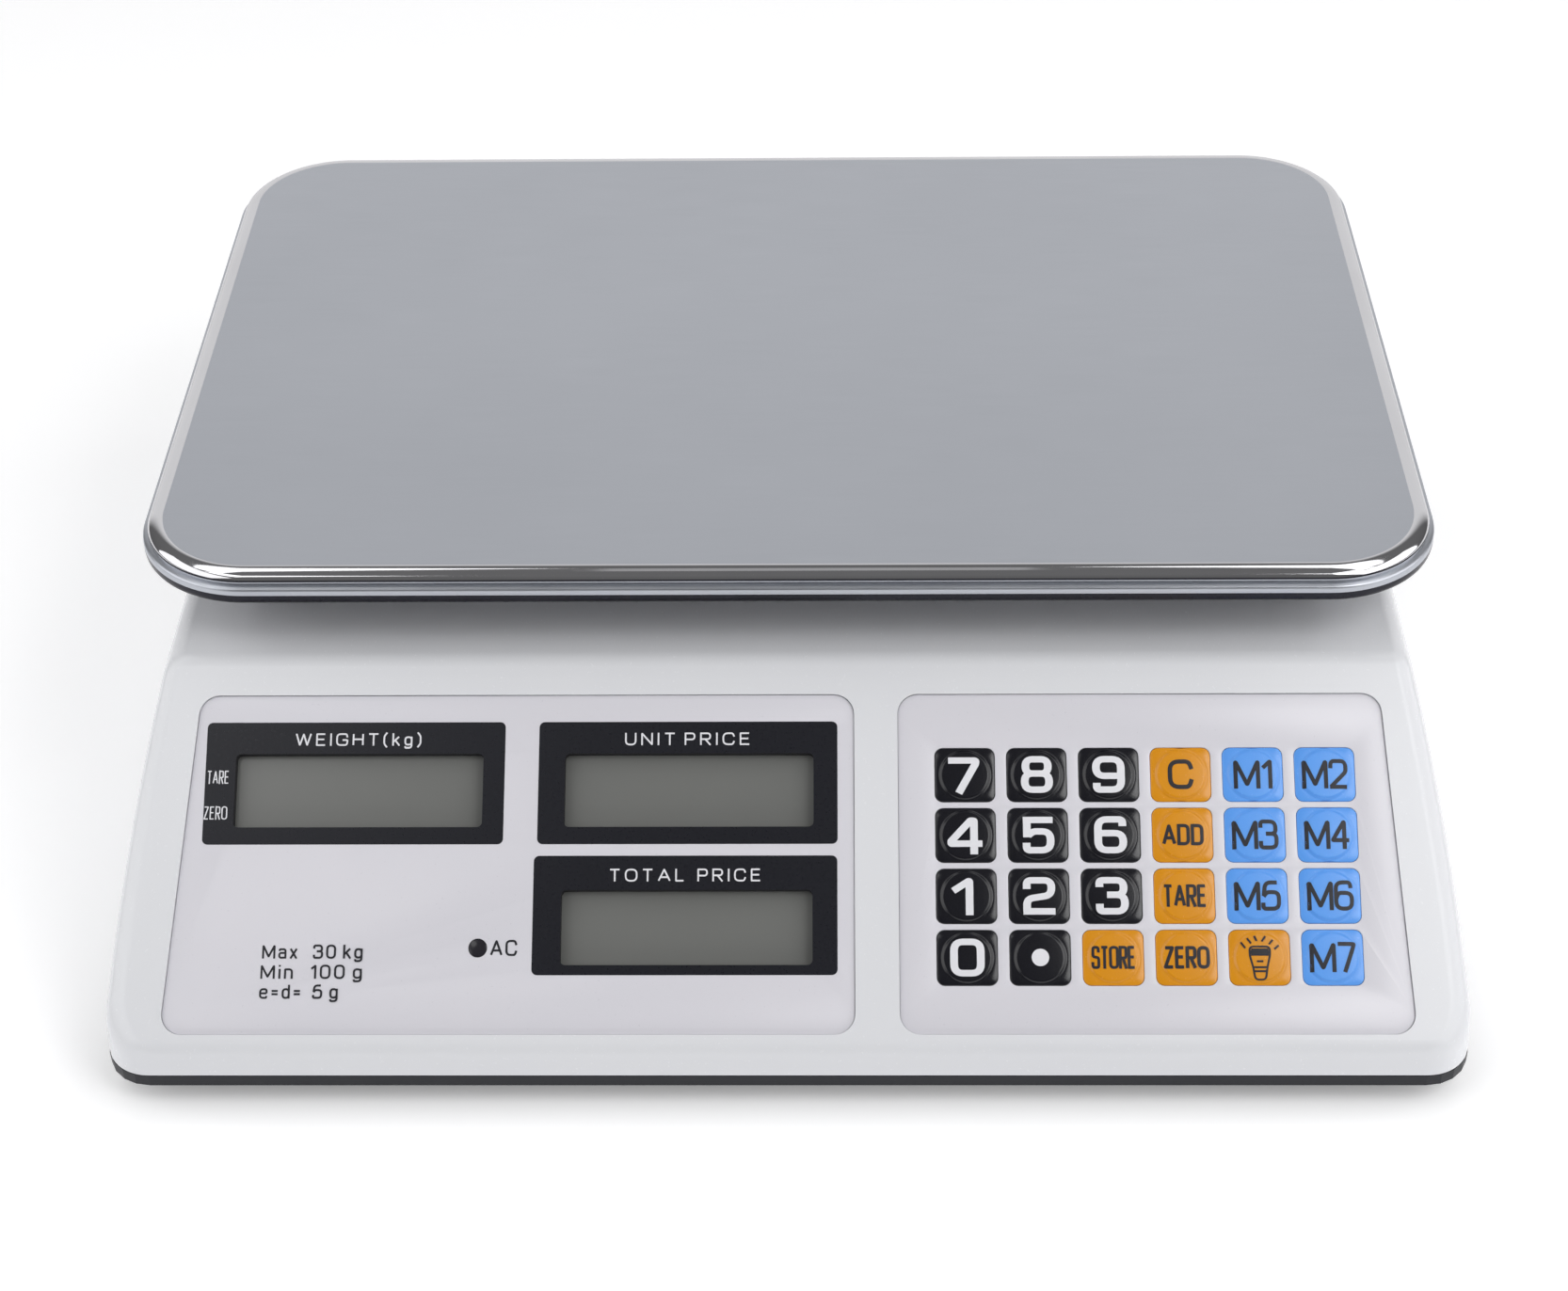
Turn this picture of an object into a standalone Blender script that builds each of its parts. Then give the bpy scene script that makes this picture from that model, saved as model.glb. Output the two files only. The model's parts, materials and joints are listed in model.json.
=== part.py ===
"""Retail price scale: weighing pan on a load cell, wedge-shaped case, displays front and rear, 24 keys.

Metres, +Z up. The origin is on the table, under the middle of the case. The keys face -Y.
"""

import math

import bmesh
import bpy
from mathutils import Matrix, Vector

MM = 0.001

# Driving dimensions
CASE_WIDTH = 345 * MM
CASE_DEPTH = 310 * MM
CASE_CORNER = 12 * MM
TOTAL_HEIGHT = 105 * MM
BASE_HEIGHT = 7 * MM  # underside of the case above the table
SEAM_HEIGHT = BASE_HEIGHT + 3.3 * MM  # top of the visible edge of the bottom cover
LIP_HEIGHT = BASE_HEIGHT + 12 * MM  # where the front face would meet the sloped panel
DECK_HEIGHT = BASE_HEIGHT + 74 * MM
PANEL_SLOPE = math.radians(37.7)
REAR_SLOPE = math.radians(72)
WALL = 3 * MM
EDGE_FILLET = 6 * MM
GAP = 0.3 * MM  # between pieces that touch

PAN_WIDTH = 335 * MM
PAN_DEPTH = 220 * MM
PAN_CORNER = 29 * MM
PAN_CENTRE_Y = 39 * MM
PAN_BEAD = (4.2 * MM, 2.35 * MM)  # the rolled edge: reach inwards and drop
PAN_FLARE = 1.5 * MM  # how far the rim stands out past the bead
PAN_RIM = 8.3 * MM
PAN_GROOVE = 0.3 * MM  # depth of the groove under the bead
PAN_SHEET = 0.8 * MM

KEY_COLUMNS = 6
KEY_ROWS = 4
KEY_PITCH_X = 18.3 * MM
KEY_PITCH_Y = 15.6 * MM
KEY_WIDTH = 15.2 * MM
KEY_HEIGHT = 14 * MM
KEYPAD_X = 91.4 * MM
KEYPAD_Y = 47 * MM
KEY_TRAVEL = 0.7 * MM
KEY_CORNER = 2.2 * MM
KEY_BASE = -2.2 * MM  # underside and face of a key, from the panel's surface
KEY_FACE = -0.55 * MM
DOME_RADIUS = 6.4 * MM
DOME_RISE = 0.85 * MM

RECESS = 1.5 * MM  # depth of the pockets that the overlays lie in
OVERLAY = 0.5 * MM
OVERLAY_LOW = 4.6 * MM  # lower and upper edge on the panel
OVERLAY_HIGH = 91.3 * MM
OVERLAY_CORNER = 5 * MM
DISPLAY_EDGES = (17.2 * MM, -156.8 * MM, -150.4 * MM)  # inner side, outer side low and high
KEYPAD_EDGES = (28.9 * MM, 157.1 * MM, 151.8 * MM)
WINDOW = (63.6 * MM, 19.1 * MM)
WINDOW_MARGIN = 2 * MM  # the case's openings are larger than the clear windows
LED_AT = (-77.6 * MM, 26.2 * MM)
LED_RADIUS = 2.4 * MM
LCD_SIZE = (71 * MM, 25 * MM, 2.8 * MM)
LCD_TOP = -WALL - 0.5 * MM
LCD_PLACES = {  # middle of each front window on the panel
    "lcd_weight": (-109.2 * MM, 66.7 * MM),
    "lcd_unit_price": (-24.7 * MM, 66.7 * MM),
    "lcd_total_price": (-25.0 * MM, 31.4 * MM),
}
BOARD_THICK = 1.6 * MM
DISPLAY_BOARD_TOP = LCD_TOP - LCD_SIZE[2] - GAP
REAR_LCD_PITCH = 84 * MM
REAR_OVERLAY = (272 * MM, 40 * MM)
REAR_OVERLAY_Y = 34 * MM

SIDE_FRAME_HEIGHT = BASE_HEIGHT + 23 * MM  # middle of the power entry on the right wall
SIDE_CURVE = (0.0419, 0.001717)  # how far the side walls come in with height, per mm and per mm squared
SWITCH_AT = (64 * MM, 0)  # along the right wall from the middle, and up it
INLET_AT = (102 * MM, 0)
SWITCH_CUT = (20 * MM, 13.2 * MM)
INLET_CUT = (27.4 * MM, 20.4 * MM)
SWITCH_FLANGE = (23 * MM, 16 * MM)
INLET_FLANGE = (31 * MM, 24 * MM)
FLANGE_MIDDLE = -0.45 * MM  # the flanges lie flush in their seats
FLANGE_THICK = 1.5 * MM
ROCKER_AXIS = -0.9 * MM
ROCKER_TILT = math.radians(8)

CELL = (130 * MM, 30 * MM, 22 * MM)
CELL_BOTTOM = 49 * MM
CELL_FLEX = 1 * MM  # room for the loaded end to sink
BOLT_PITCH = 15 * MM
BOLT_RADIUS = 3 * MM
HUB_X = 47 * MM
HUB_BOTTOM = CELL_BOTTOM + CELL[2] + CELL_FLEX + GAP
DECK_HOLE = (52 * MM, 52 * MM)  # where the hub passes through the case
ARM_THICK = 8 * MM
PAD_PLACES = [(x * 132 * MM, y * 80 * MM) for x in (-1, 1) for y in (-1, 1)]
PAD_RADIUS = 9 * MM
PAD_HEIGHT = 7 * MM

FOOT_PLACES = {
    "front_left": (-140 * MM, -122 * MM),
    "front_right": (140 * MM, -122 * MM),
    "rear_left": (-140 * MM, 122 * MM),
    "rear_right": (140 * MM, 122 * MM),
}
FOOT_RADIUS = 13 * MM
FOOT_THICK = 4.5 * MM
STUD_RADIUS = 3 * MM
STUD_TOP = BASE_HEIGHT + 15 * MM
SCREW_PLACES = [(x * 160 * MM, y * MM) for x in (-1, 1) for y in (-142, 0, 142)]

INNER_FLOOR = SEAM_HEIGHT + GAP
BOARD_BOTTOM = BASE_HEIGHT + 9 * MM
MAIN_BOARD = (110 * MM, 56 * MM, BOARD_THICK)
MAIN_BOARD_AT = (-78 * MM, -30 * MM)
MAIN_PILLARS = [
    (MAIN_BOARD_AT[0] + x * 50 * MM, MAIN_BOARD_AT[1] + y * 23 * MM) for x in (-1, 1) for y in (-1, 1)
]
BATTERY = (101 * MM, 47 * MM, 47 * MM)
BATTERY_AT = (-80 * MM, 98 * MM)
TRANSFORMER_AT = (112 * MM, 78 * MM)

KEY_NAMES = [
    ["key_7", "key_8", "key_9", "key_clear", "key_m1", "key_m2"],
    ["key_4", "key_5", "key_6", "key_add", "key_m3", "key_m4"],
    ["key_1", "key_2", "key_3", "key_tare", "key_m5", "key_m6"],
    ["key_0", "key_point", "key_store", "key_zero", "key_light", "key_m7"],
]


def clear_scene():
    for item in list(bpy.data.objects):
        bpy.data.objects.remove(item, do_unlink=True)


def new_collection(name):
    made = bpy.data.collections.new(name)
    bpy.context.scene.collection.children.link(made)
    return made


clear_scene()
PARTS = new_collection("price_scale")
CUTTERS = new_collection("cutters")


def material(name, colour, roughness=0.5, metallic=0.0):
    made = bpy.data.materials.get(name) or bpy.data.materials.new(name)
    made.use_nodes = True
    shader = made.node_tree.nodes["Principled BSDF"]
    shader.inputs["Base Color"].default_value = (*colour, 1)
    shader.inputs["Roughness"].default_value = roughness
    shader.inputs["Metallic"].default_value = metallic
    return made


WHITE = material("white_abs", (0.78, 0.80, 0.80), 0.35)
DARK = material("dark_abs", (0.03, 0.03, 0.045), 0.45)
STEEL = material("stainless_steel", (0.62, 0.63, 0.65), 0.3, 1)
ZINC = material("zinc_plated_steel", (0.6, 0.6, 0.58), 0.35, 1)
ALUMINIUM = material("aluminium", (0.72, 0.73, 0.75), 0.35, 1)
FILM = material("printed_film", (0.68, 0.67, 0.70), 0.35)
GLASS = material("lcd_glass", (0.10, 0.10, 0.09), 0.15)
BOARD = material("circuit_board", (0.02, 0.16, 0.06), 0.5)
RUBBER = material("black_rubber", (0.02, 0.02, 0.02), 0.8)
NUMBER_KEY = material("number_key", (0.01, 0.01, 0.015), 0.3)
FUNCTION_KEY = material("function_key", (0.70, 0.32, 0.02), 0.35)
MEMORY_KEY = material("memory_key", (0.13, 0.36, 0.82), 0.35)
LED = material("indicator", (0.05, 0.02, 0.02), 0.2)
BATTERY_CASE = material("battery_case", (0.05, 0.05, 0.06), 0.5)
LAMINATE = material("transformer_core", (0.22, 0.22, 0.24), 0.5, 0.6)


def add_object(name, mesh, finish=None, parent=None, collection=None):
    made = bpy.data.objects.new(name, mesh)
    (collection or PARTS).objects.link(made)
    if finish:
        mesh.materials.clear()
        mesh.materials.append(finish)
    if parent:
        made.parent = parent
    return made


def as_cutter(item):
    """Hides a helper from the build, in the collection of cutters."""
    item.hide_render = True
    item.display_type = "WIRE"
    for collection in list(item.users_collection):
        collection.objects.unlink(item)
    CUTTERS.objects.link(item)
    return item


def mesh_from(build, name):
    """A mesh whose geometry the function build adds to a bmesh."""
    sketch = bmesh.new()
    build(sketch)
    mesh = bpy.data.meshes.new(name)
    sketch.to_mesh(mesh)
    sketch.free()
    return mesh


def box(name, size, centre, finish=None, parent=None):
    def build(sketch):
        place = Matrix.Translation(centre) @ Matrix.Diagonal((*size, 1))
        bmesh.ops.create_cube(sketch, size=1, matrix=place)

    return add_object(name, mesh_from(build, name), finish, parent)


def boxes(name, size, centres, parent=None):
    """Several equal boxes in one helper object."""

    def build(sketch):
        for centre in centres:
            place = Matrix.Translation(centre) @ Matrix.Diagonal((*size, 1))
            bmesh.ops.create_cube(sketch, size=1, matrix=place)

    return add_object(name, mesh_from(build, name), None, parent)


def cylinders(name, radius, low, high, places, finish=None, parent=None, sides=20, top_radius=None):
    """Equal upright cylinders or cones, from low to high, at the places given as (x, y)."""

    def build(sketch):
        for x, y in places:
            bmesh.ops.create_cone(
                sketch,
                cap_ends=True,
                segments=sides,
                radius1=radius,
                radius2=radius if top_radius is None else top_radius,
                depth=high - low,
                matrix=Matrix.Translation((x, y, (low + high) / 2)),
            )

    made = add_object(name, mesh_from(build, name), finish, parent)
    made.data.shade_smooth()
    made.data.set_sharp_from_angle(angle=math.radians(35))
    return made


def rounded_outline(corners, radius, steps=5):
    """The points of a convex outline, anticlockwise, with each corner turned into an arc."""
    points = []
    count = len(corners)
    for i, corner in enumerate(corners):
        here = Vector(corner)
        back = (Vector(corners[i - 1]) - here).normalized()
        ahead = (Vector(corners[(i + 1) % count]) - here).normalized()
        half = back.angle(ahead) / 2
        centre = here + (back + ahead).normalized() * radius / math.sin(half)
        start = here + back * radius / math.tan(half) - centre
        sweep = math.pi - 2 * half
        for step in range(steps + 1):
            turned = Matrix.Rotation(sweep * step / steps, 2) @ start
            points.append(centre + turned)
    return points


def rounded_rectangle(width, height, radius, centre=(0, 0), steps=5):
    x, y = centre
    w, h = width / 2, height / 2
    corners = [(x - w, y - h), (x + w, y - h), (x + w, y + h), (x - w, y + h)]
    return rounded_outline(corners, radius, steps)


def plate(name, outline, low, high, finish=None, parent=None, holes=()):
    """A flat solid between two heights: a filled 2D curve, extruded, made a mesh and welded."""
    curve = bpy.data.curves.new(name, "CURVE")
    curve.dimensions = "2D"
    curve.fill_mode = "BOTH"
    curve.extrude = (high - low) / 2
    for loop in (outline, *holes):
        spline = curve.splines.new("POLY")
        spline.points.add(len(loop) - 1)
        for point, place in zip(spline.points, loop):
            point.co = (place[0], place[1], 0, 1)
        spline.use_cyclic_u = True
    drawn = bpy.data.objects.new(name + "_curve", curve)
    bpy.context.scene.collection.objects.link(drawn)
    bpy.context.view_layer.update()
    graph = bpy.context.evaluated_depsgraph_get()
    mesh = bpy.data.meshes.new_from_object(drawn.evaluated_get(graph))
    bpy.data.objects.remove(drawn)
    bpy.data.curves.remove(curve)
    sketch = bmesh.new()
    sketch.from_mesh(mesh)
    bmesh.ops.remove_doubles(sketch, verts=sketch.verts, dist=0.001 * MM)
    bmesh.ops.translate(sketch, verts=sketch.verts, vec=(0, 0, (low + high) / 2))
    sketch.to_mesh(mesh)
    sketch.free()
    mesh.materials.clear()
    return add_object(name, mesh, finish, parent)


def combine(target, tool, operation):
    cut = target.modifiers.new(operation.lower(), "BOOLEAN")
    cut.operation = operation
    cut.object = tool
    as_cutter(tool)
    return target


def cut(target, *tools):
    for tool in tools:
        combine(target, tool, "DIFFERENCE")
    return target


def join(target, *tools):
    for tool in tools:
        combine(target, tool, "UNION")
    return target


def bake(item):
    """The item's mesh with its modifiers applied."""
    bpy.context.view_layer.update()
    graph = bpy.context.evaluated_depsgraph_get()
    return bpy.data.meshes.new_from_object(item.evaluated_get(graph))


def empty(name, location, rotation=(0, 0, 0)):
    made = bpy.data.objects.new(name, None)
    PARTS.objects.link(made)
    made.location = location
    made.rotation_euler = rotation
    return made


def side_half_width(z):
    """Half the case's width at a height: the side walls curve inwards towards the deck."""
    rise = (z - BASE_HEIGHT) / MM
    return CASE_WIDTH / 2 - (SIDE_CURVE[0] * rise + SIDE_CURVE[1] * rise * rise) * MM


def fillet_2d(before, corner, after, radius, steps):
    """Points of an arc that rounds the corner between two straight lines."""
    here = Vector(corner)
    back = (Vector(before) - here).normalized()
    ahead = (Vector(after) - here).normalized()
    half = back.angle(ahead) / 2
    centre = here + (back + ahead).normalized() * radius / math.sin(half)
    start = here + back * radius / math.tan(half) - centre
    sweep = math.pi - 2 * half
    sign = 1 if back.x * ahead.y - back.y * ahead.x < 0 else -1
    return [centre + Matrix.Rotation(sign * sweep * i / steps, 2) @ start for i in range(steps + 1)]


def case_profile():
    """The case's top line from front to rear, as (y, z): lip, sloped panel, deck and rear wall."""
    front, rear = -CASE_DEPTH / 2, CASE_DEPTH / 2
    ridge = front + (DECK_HEIGHT - LIP_HEIGHT) / math.tan(PANEL_SLOPE)
    rear_top = rear - (DECK_HEIGHT - LIP_HEIGHT) / math.tan(REAR_SLOPE)
    corners = [
        (front, BASE_HEIGHT),
        (front, LIP_HEIGHT),
        (ridge, DECK_HEIGHT),
        (rear_top, DECK_HEIGHT),
        (rear, LIP_HEIGHT),
        (rear, BASE_HEIGHT),
    ]
    line = []
    for i, radius in ((1, EDGE_FILLET), (2, 7 * MM), (3, 7 * MM), (4, 14 * MM)):
        line += fillet_2d(corners[i - 1], corners[i], corners[i + 1], radius, 4)
    return line


def height_at(line, y):
    for (y0, z0), (y1, z1) in zip(line, line[1:]):
        if y0 <= y <= y1 and y1 > y0:
            return z0 + (z1 - z0) * (y - y0) / (y1 - y0)
    return line[0][1] if y < line[0][0] else line[-1][1]


def case_stations(line):
    """Where the cross-sections stand: at each profile point, round the corners and along the slopes."""
    front, rear = -CASE_DEPTH / 2, CASE_DEPTH / 2
    places = {round(y, 6) for y, _ in line}
    for step in range(7):
        inward = CASE_CORNER * (1 - math.cos(math.radians(15 * step)))
        places |= {round(front + inward, 6), round(rear - inward, 6)}
    places |= {round(front + share * 84 * MM, 6) for share in (0.3, 0.45, 0.6, 0.75)}
    ordered = sorted(places)
    kept = [ordered[0]]
    for y in ordered[1:-1]:
        if y - kept[-1] > 0.25 * MM and ordered[-1] - y > 0.25 * MM:
            kept.append(y)
    return [(y, height_at(line, y)) for y in kept + [ordered[-1]]]


def case_section(y, top):
    """Half a cross-section of the case, from the bottom rim up the side wall and round onto the top."""
    to_end = max(CASE_DEPTH / 2 - abs(y), 0)
    inset = 0
    if to_end < CASE_CORNER:
        inset = CASE_CORNER - math.sqrt(CASE_CORNER**2 - (CASE_CORNER - to_end) ** 2)
    low = SEAM_HEIGHT + GAP
    radius = min(EDGE_FILLET, 0.6 * (top - low))
    points = []
    for step in range(6):
        z = low + (top - radius - low) * step / 5
        points.append((side_half_width(z) - inset, z))
    wall_x = points[-1][0]
    for step in range(1, 6):
        angle = math.radians(90 * step / 5)
        points.append((wall_x - radius * (1 - math.cos(angle)), top - radius * (1 - math.sin(angle))))
    return points


def case_surface(name):
    """The case's outer skin, open at the bottom: a loft through its cross-sections."""
    rows = []
    for y, top in case_stations(case_profile()):
        right = case_section(y, top)
        rows.append([(-x, y, z) for x, z in right] + [(x, y, z) for x, z in reversed(right)])

    def build(sketch):
        grid = [[sketch.verts.new(point) for point in row] for row in rows]
        for row, following in zip(grid, grid[1:]):
            for i in range(len(row) - 1):
                sketch.faces.new((row[i], following[i], following[i + 1], row[i + 1]))
        sketch.faces.new(grid[0])
        sketch.faces.new(reversed(grid[-1]))
        bmesh.ops.recalc_face_normals(sketch, faces=sketch.faces)

    mesh = mesh_from(build, name)
    mesh.shade_smooth()
    mesh.set_sharp_from_angle(angle=math.radians(35))
    return mesh


def overlay_outline(inner, outer_low, outer_high, grow=0.0):
    """An overlay on the front panel: its outer side leans with the case's side wall."""
    side = 1 if outer_low > 0 else -1
    low, high = OVERLAY_LOW - grow, OVERLAY_HIGH + grow
    corners = [
        (inner - side * grow, low),
        (outer_low + side * grow, low),
        (outer_high + side * grow, high),
        (inner - side * grow, high),
    ]
    if side < 0:
        corners.reverse()
    return rounded_outline(corners, OVERLAY_CORNER + grow)


def make_frames():
    """Empties on the sloped panel, the rear wall and the right wall, each with +Z out of the case."""
    rise = (SIDE_FRAME_HEIGHT - BASE_HEIGHT) / MM
    lean = math.atan(SIDE_CURVE[0] + 2 * SIDE_CURVE[1] * rise)
    return {
        "panel": empty("panel_frame", (0, -CASE_DEPTH / 2, LIP_HEIGHT), (PANEL_SLOPE, 0, 0)),
        "rear": empty("rear_frame", (0, CASE_DEPTH / 2, LIP_HEIGHT), (REAR_SLOPE, 0, math.pi)),
        "side": empty(
            "side_frame",
            (side_half_width(SIDE_FRAME_HEIGHT), 0, SIDE_FRAME_HEIGHT),
            (math.pi / 2 - lean, 0, math.pi / 2),
        ),
    }


def upper_housing(frames):
    housing = add_object("upper_housing", case_surface("upper_housing"), WHITE)
    shell = housing.modifiers.new("wall", "SOLIDIFY")
    shell.thickness = WALL
    shell.offset = -1
    shell.use_even_offset = True
    panel, rear, side = frames["panel"], frames["rear"], frames["side"]
    above = 12 * MM
    through = 30 * MM
    pockets = [
        plate("display_pocket", overlay_outline(*DISPLAY_EDGES, grow=GAP), -RECESS, above, None, panel),
        plate("keypad_pocket", overlay_outline(*KEYPAD_EDGES, grow=GAP), -RECESS, above, None, panel),
        plate(
            "rear_pocket",
            rounded_rectangle(*(side + 2 * GAP for side in REAR_OVERLAY), 5 * MM, (0, REAR_OVERLAY_Y)),
            -RECESS,
            above,
            None,
            rear,
        ),
    ]
    window = (WINDOW[0] + WINDOW_MARGIN, WINDOW[1] + WINDOW_MARGIN, through)
    windows = [
        boxes("window_cuts", window, [(x, y, 0) for x, y in LCD_PLACES.values()], panel),
        boxes("rear_window_cuts", window, [(x, REAR_OVERLAY_Y, 0) for x in rear_lcd_places()], rear),
    ]
    keypad = (
        KEY_PITCH_X * (KEY_COLUMNS - 1) + KEY_WIDTH + WINDOW_MARGIN,
        KEY_PITCH_Y * (KEY_ROWS - 1) + KEY_HEIGHT + WINDOW_MARGIN,
        through,
    )
    windows.append(box("keypad_cut", keypad, (KEYPAD_X, KEYPAD_Y, 0), None, panel))
    windows.append(cylinders("led_cut", 3 * MM, -through, through, [LED_AT], None, panel, 16))
    for name, at, size, flange in (
        ("switch_cut", SWITCH_AT, SWITCH_CUT, SWITCH_FLANGE),
        ("inlet_cut", INLET_AT, INLET_CUT, INLET_FLANGE),
    ):
        windows.append(box(name, (*size, through), (at[0], at[1], 0), None, side))
        seat = (flange[0] + 2 * GAP, flange[1] + 2 * GAP, above)
        windows.append(box(name + "_seat", seat, (at[0], at[1], above / 2 - RECESS), None, side))
    windows.append(
        plate(
            "deck_cut",
            rounded_rectangle(*DECK_HOLE, 6 * MM, (HUB_X, PAN_CENTRE_Y), 3),
            DECK_HEIGHT - 8 * MM,
            DECK_HEIGHT + 8 * MM,
        )
    )
    return cut(housing, *pockets, *windows)


def rear_lcd_places():
    return [i * REAR_LCD_PITCH for i in (-1, 0, 1)]


def key_places():
    """Name, x and y on the panel of every key, row by row from the top."""
    for row, names in enumerate(KEY_NAMES):
        for column, name in enumerate(names):
            x = KEYPAD_X + (column - (KEY_COLUMNS - 1) / 2) * KEY_PITCH_X
            y = KEYPAD_Y - (row - (KEY_ROWS - 1) / 2) * KEY_PITCH_Y
            yield name, x, y


def bottom_cover():
    """The dark bottom cover: plate, locating lip, foot bosses and board pillars."""
    outline = rounded_rectangle(CASE_WIDTH, CASE_DEPTH, CASE_CORNER)
    cover = plate("bottom_cover", outline, BASE_HEIGHT, SEAM_HEIGHT, DARK)
    inset = 2 * (WALL + 1.2 * MM)
    lip = 2 * 2 * MM
    overlap = SEAM_HEIGHT - 1 * MM
    rim = plate(
        "locating_lip",
        rounded_rectangle(CASE_WIDTH - inset, CASE_DEPTH - inset, 8 * MM),
        overlap,
        SEAM_HEIGHT + 3.5 * MM,
        holes=[rounded_rectangle(CASE_WIDTH - inset - lip, CASE_DEPTH - inset - lip, 6 * MM)],
    )
    feet = list(FOOT_PLACES.values())
    bosses = cylinders("foot_bosses", 8 * MM, overlap, BASE_HEIGHT + 10 * MM, feet)
    pillars = cylinders("board_pillars", 3 * MM, overlap, BOARD_BOTTOM - GAP, MAIN_PILLARS, sides=12)
    join(cover, rim, bosses, pillars)
    studs = cylinders("stud_holes", STUD_RADIUS + GAP, 0, BASE_HEIGHT + 30 * MM, feet)
    screws = cylinders("screw_recesses", 4 * MM, 0, BASE_HEIGHT + 1.8 * MM, SCREW_PLACES, sides=16)
    return cut(cover, studs, screws)


def weighing_pan():
    """The loose stainless pan: flat top, rolled bead and a rim that flares a little."""
    top = TOTAL_HEIGHT
    reach, drop = PAN_BEAD
    levels = []
    for step in range(5):
        angle = math.radians(90 * step / 4)
        levels.append((reach * (1 - math.sin(angle)), top - drop * (1 - math.cos(angle))))
    levels.append((PAN_GROOVE, top - drop - 0.7 * MM))
    levels.append((-0.85 * PAN_FLARE, top - 5.6 * MM))
    levels.append((-PAN_FLARE, top - PAN_RIM))
    rings = []
    for inset, z in levels:
        outline = rounded_rectangle(
            PAN_WIDTH - 2 * inset, PAN_DEPTH - 2 * inset, PAN_CORNER - inset, (0, PAN_CENTRE_Y), 8
        )
        rings.append([(p.x, p.y, z) for p in outline])

    def build(sketch):
        grid = [[sketch.verts.new(point) for point in ring] for ring in rings]
        count = len(grid[0])
        sketch.faces.new(grid[0])
        for upper, lower in zip(grid, grid[1:]):
            for i in range(count):
                j = (i + 1) % count
                sketch.faces.new((upper[i], lower[i], lower[j], upper[j]))
        bmesh.ops.recalc_face_normals(sketch, faces=sketch.faces)

    pan = add_object("weighing_pan", mesh_from(build, "weighing_pan"), STEEL)
    sheet = pan.modifiers.new("sheet", "SOLIDIFY")
    sheet.thickness = PAN_SHEET
    sheet.offset = -1
    sheet.use_even_offset = True
    pan.data.shade_smooth()
    pan.data.set_sharp_from_angle(angle=math.radians(35))
    return pan


def pan_support():
    """The frame that carries the pan: a plate with four arms, and a hub on the load cell's free end."""
    pad_bottom = TOTAL_HEIGHT - PAN_SHEET - GAP - PAD_HEIGHT
    high = pad_bottom - GAP
    low = high - ARM_THICK
    support = plate(
        "pan_support",
        rounded_rectangle(150 * MM, 70 * MM, 12 * MM, (0, PAN_CENTRE_Y), 4),
        low,
        high,
        DARK,
    )
    reach = Vector(PAD_PLACES[3])
    angle = math.atan2(reach.y, reach.x)
    for i, turn in enumerate((angle, -angle)):
        arm = plate(
            f"arm_{i}",
            rounded_rectangle(2 * reach.length, 15 * MM, 7 * MM, (0, 0), 4),
            low + 0.2 * MM,
            high - 0.2 * MM,
        )
        arm.location = (0, PAN_CENTRE_Y, 0)
        arm.rotation_euler = (0, 0, turn)
        join(support, arm)
    seats = cylinders(
        "pad_seats",
        PAD_RADIUS + 2.5 * MM,
        low + 0.4 * MM,
        high + 1.5 * MM,
        [(x, y + PAN_CENTRE_Y) for x, y in PAD_PLACES],
    )
    hub = box(
        "hub",
        (32 * MM, 32 * MM, low + 1 * MM - HUB_BOTTOM),
        (HUB_X, PAN_CENTRE_Y, (low + 1 * MM + HUB_BOTTOM) / 2),
    )
    join(support, seats, hub)
    sockets = cylinders(
        "pad_sockets",
        PAD_RADIUS + GAP,
        high,
        high + 9 * MM,
        [(x, y + PAN_CENTRE_Y) for x, y in PAD_PLACES],
    )
    above = high + 9 * MM
    places = bolt_places(HUB_X)
    holes = cylinders("hub_holes", BOLT_RADIUS + GAP, 0, above, places, sides=16)
    heads = cylinders("head_pockets", 5.5 * MM, high - 6.6 * MM, above, places, sides=16)
    pocket_places = [(x * MM, PAN_CENTRE_Y, high + 4 * MM) for x in (-46, 0)]
    hollow = boxes("lightening_pockets", (44 * MM, 40 * MM, 12 * MM), pocket_places)
    return cut(support, sockets, holes, heads, hollow), high, low


def bolt_places(x):
    return [(x, PAN_CENTRE_Y + side * BOLT_PITCH / 2) for side in (-1, 1)]


def load_cell():
    """A single-point load cell: an aluminium bar with two joined holes across it."""
    top = CELL_BOTTOM + CELL[2]
    middle = (CELL_BOTTOM + top) / 2
    cell = box("load_cell", CELL, (0, PAN_CENTRE_Y, middle), ALUMINIUM)
    eyes = cylinders("flexure_eyes", 7.6 * MM, -30 * MM, 30 * MM, [(x * MM, 0) for x in (-13, 13)])
    eyes.location = (0, PAN_CENTRE_Y, middle)
    eyes.rotation_euler = (math.pi / 2, 0, 0)
    slot = box("flexure_slot", (26 * MM, 60 * MM, 5 * MM), (0, PAN_CENTRE_Y, middle))
    low = CELL_BOTTOM + 4 * MM
    free_end = cylinders("cell_holes", BOLT_RADIUS + GAP, low, top + 5 * MM, bolt_places(HUB_X), sides=16)
    return cut(cell, eyes, slot, free_end)


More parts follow.
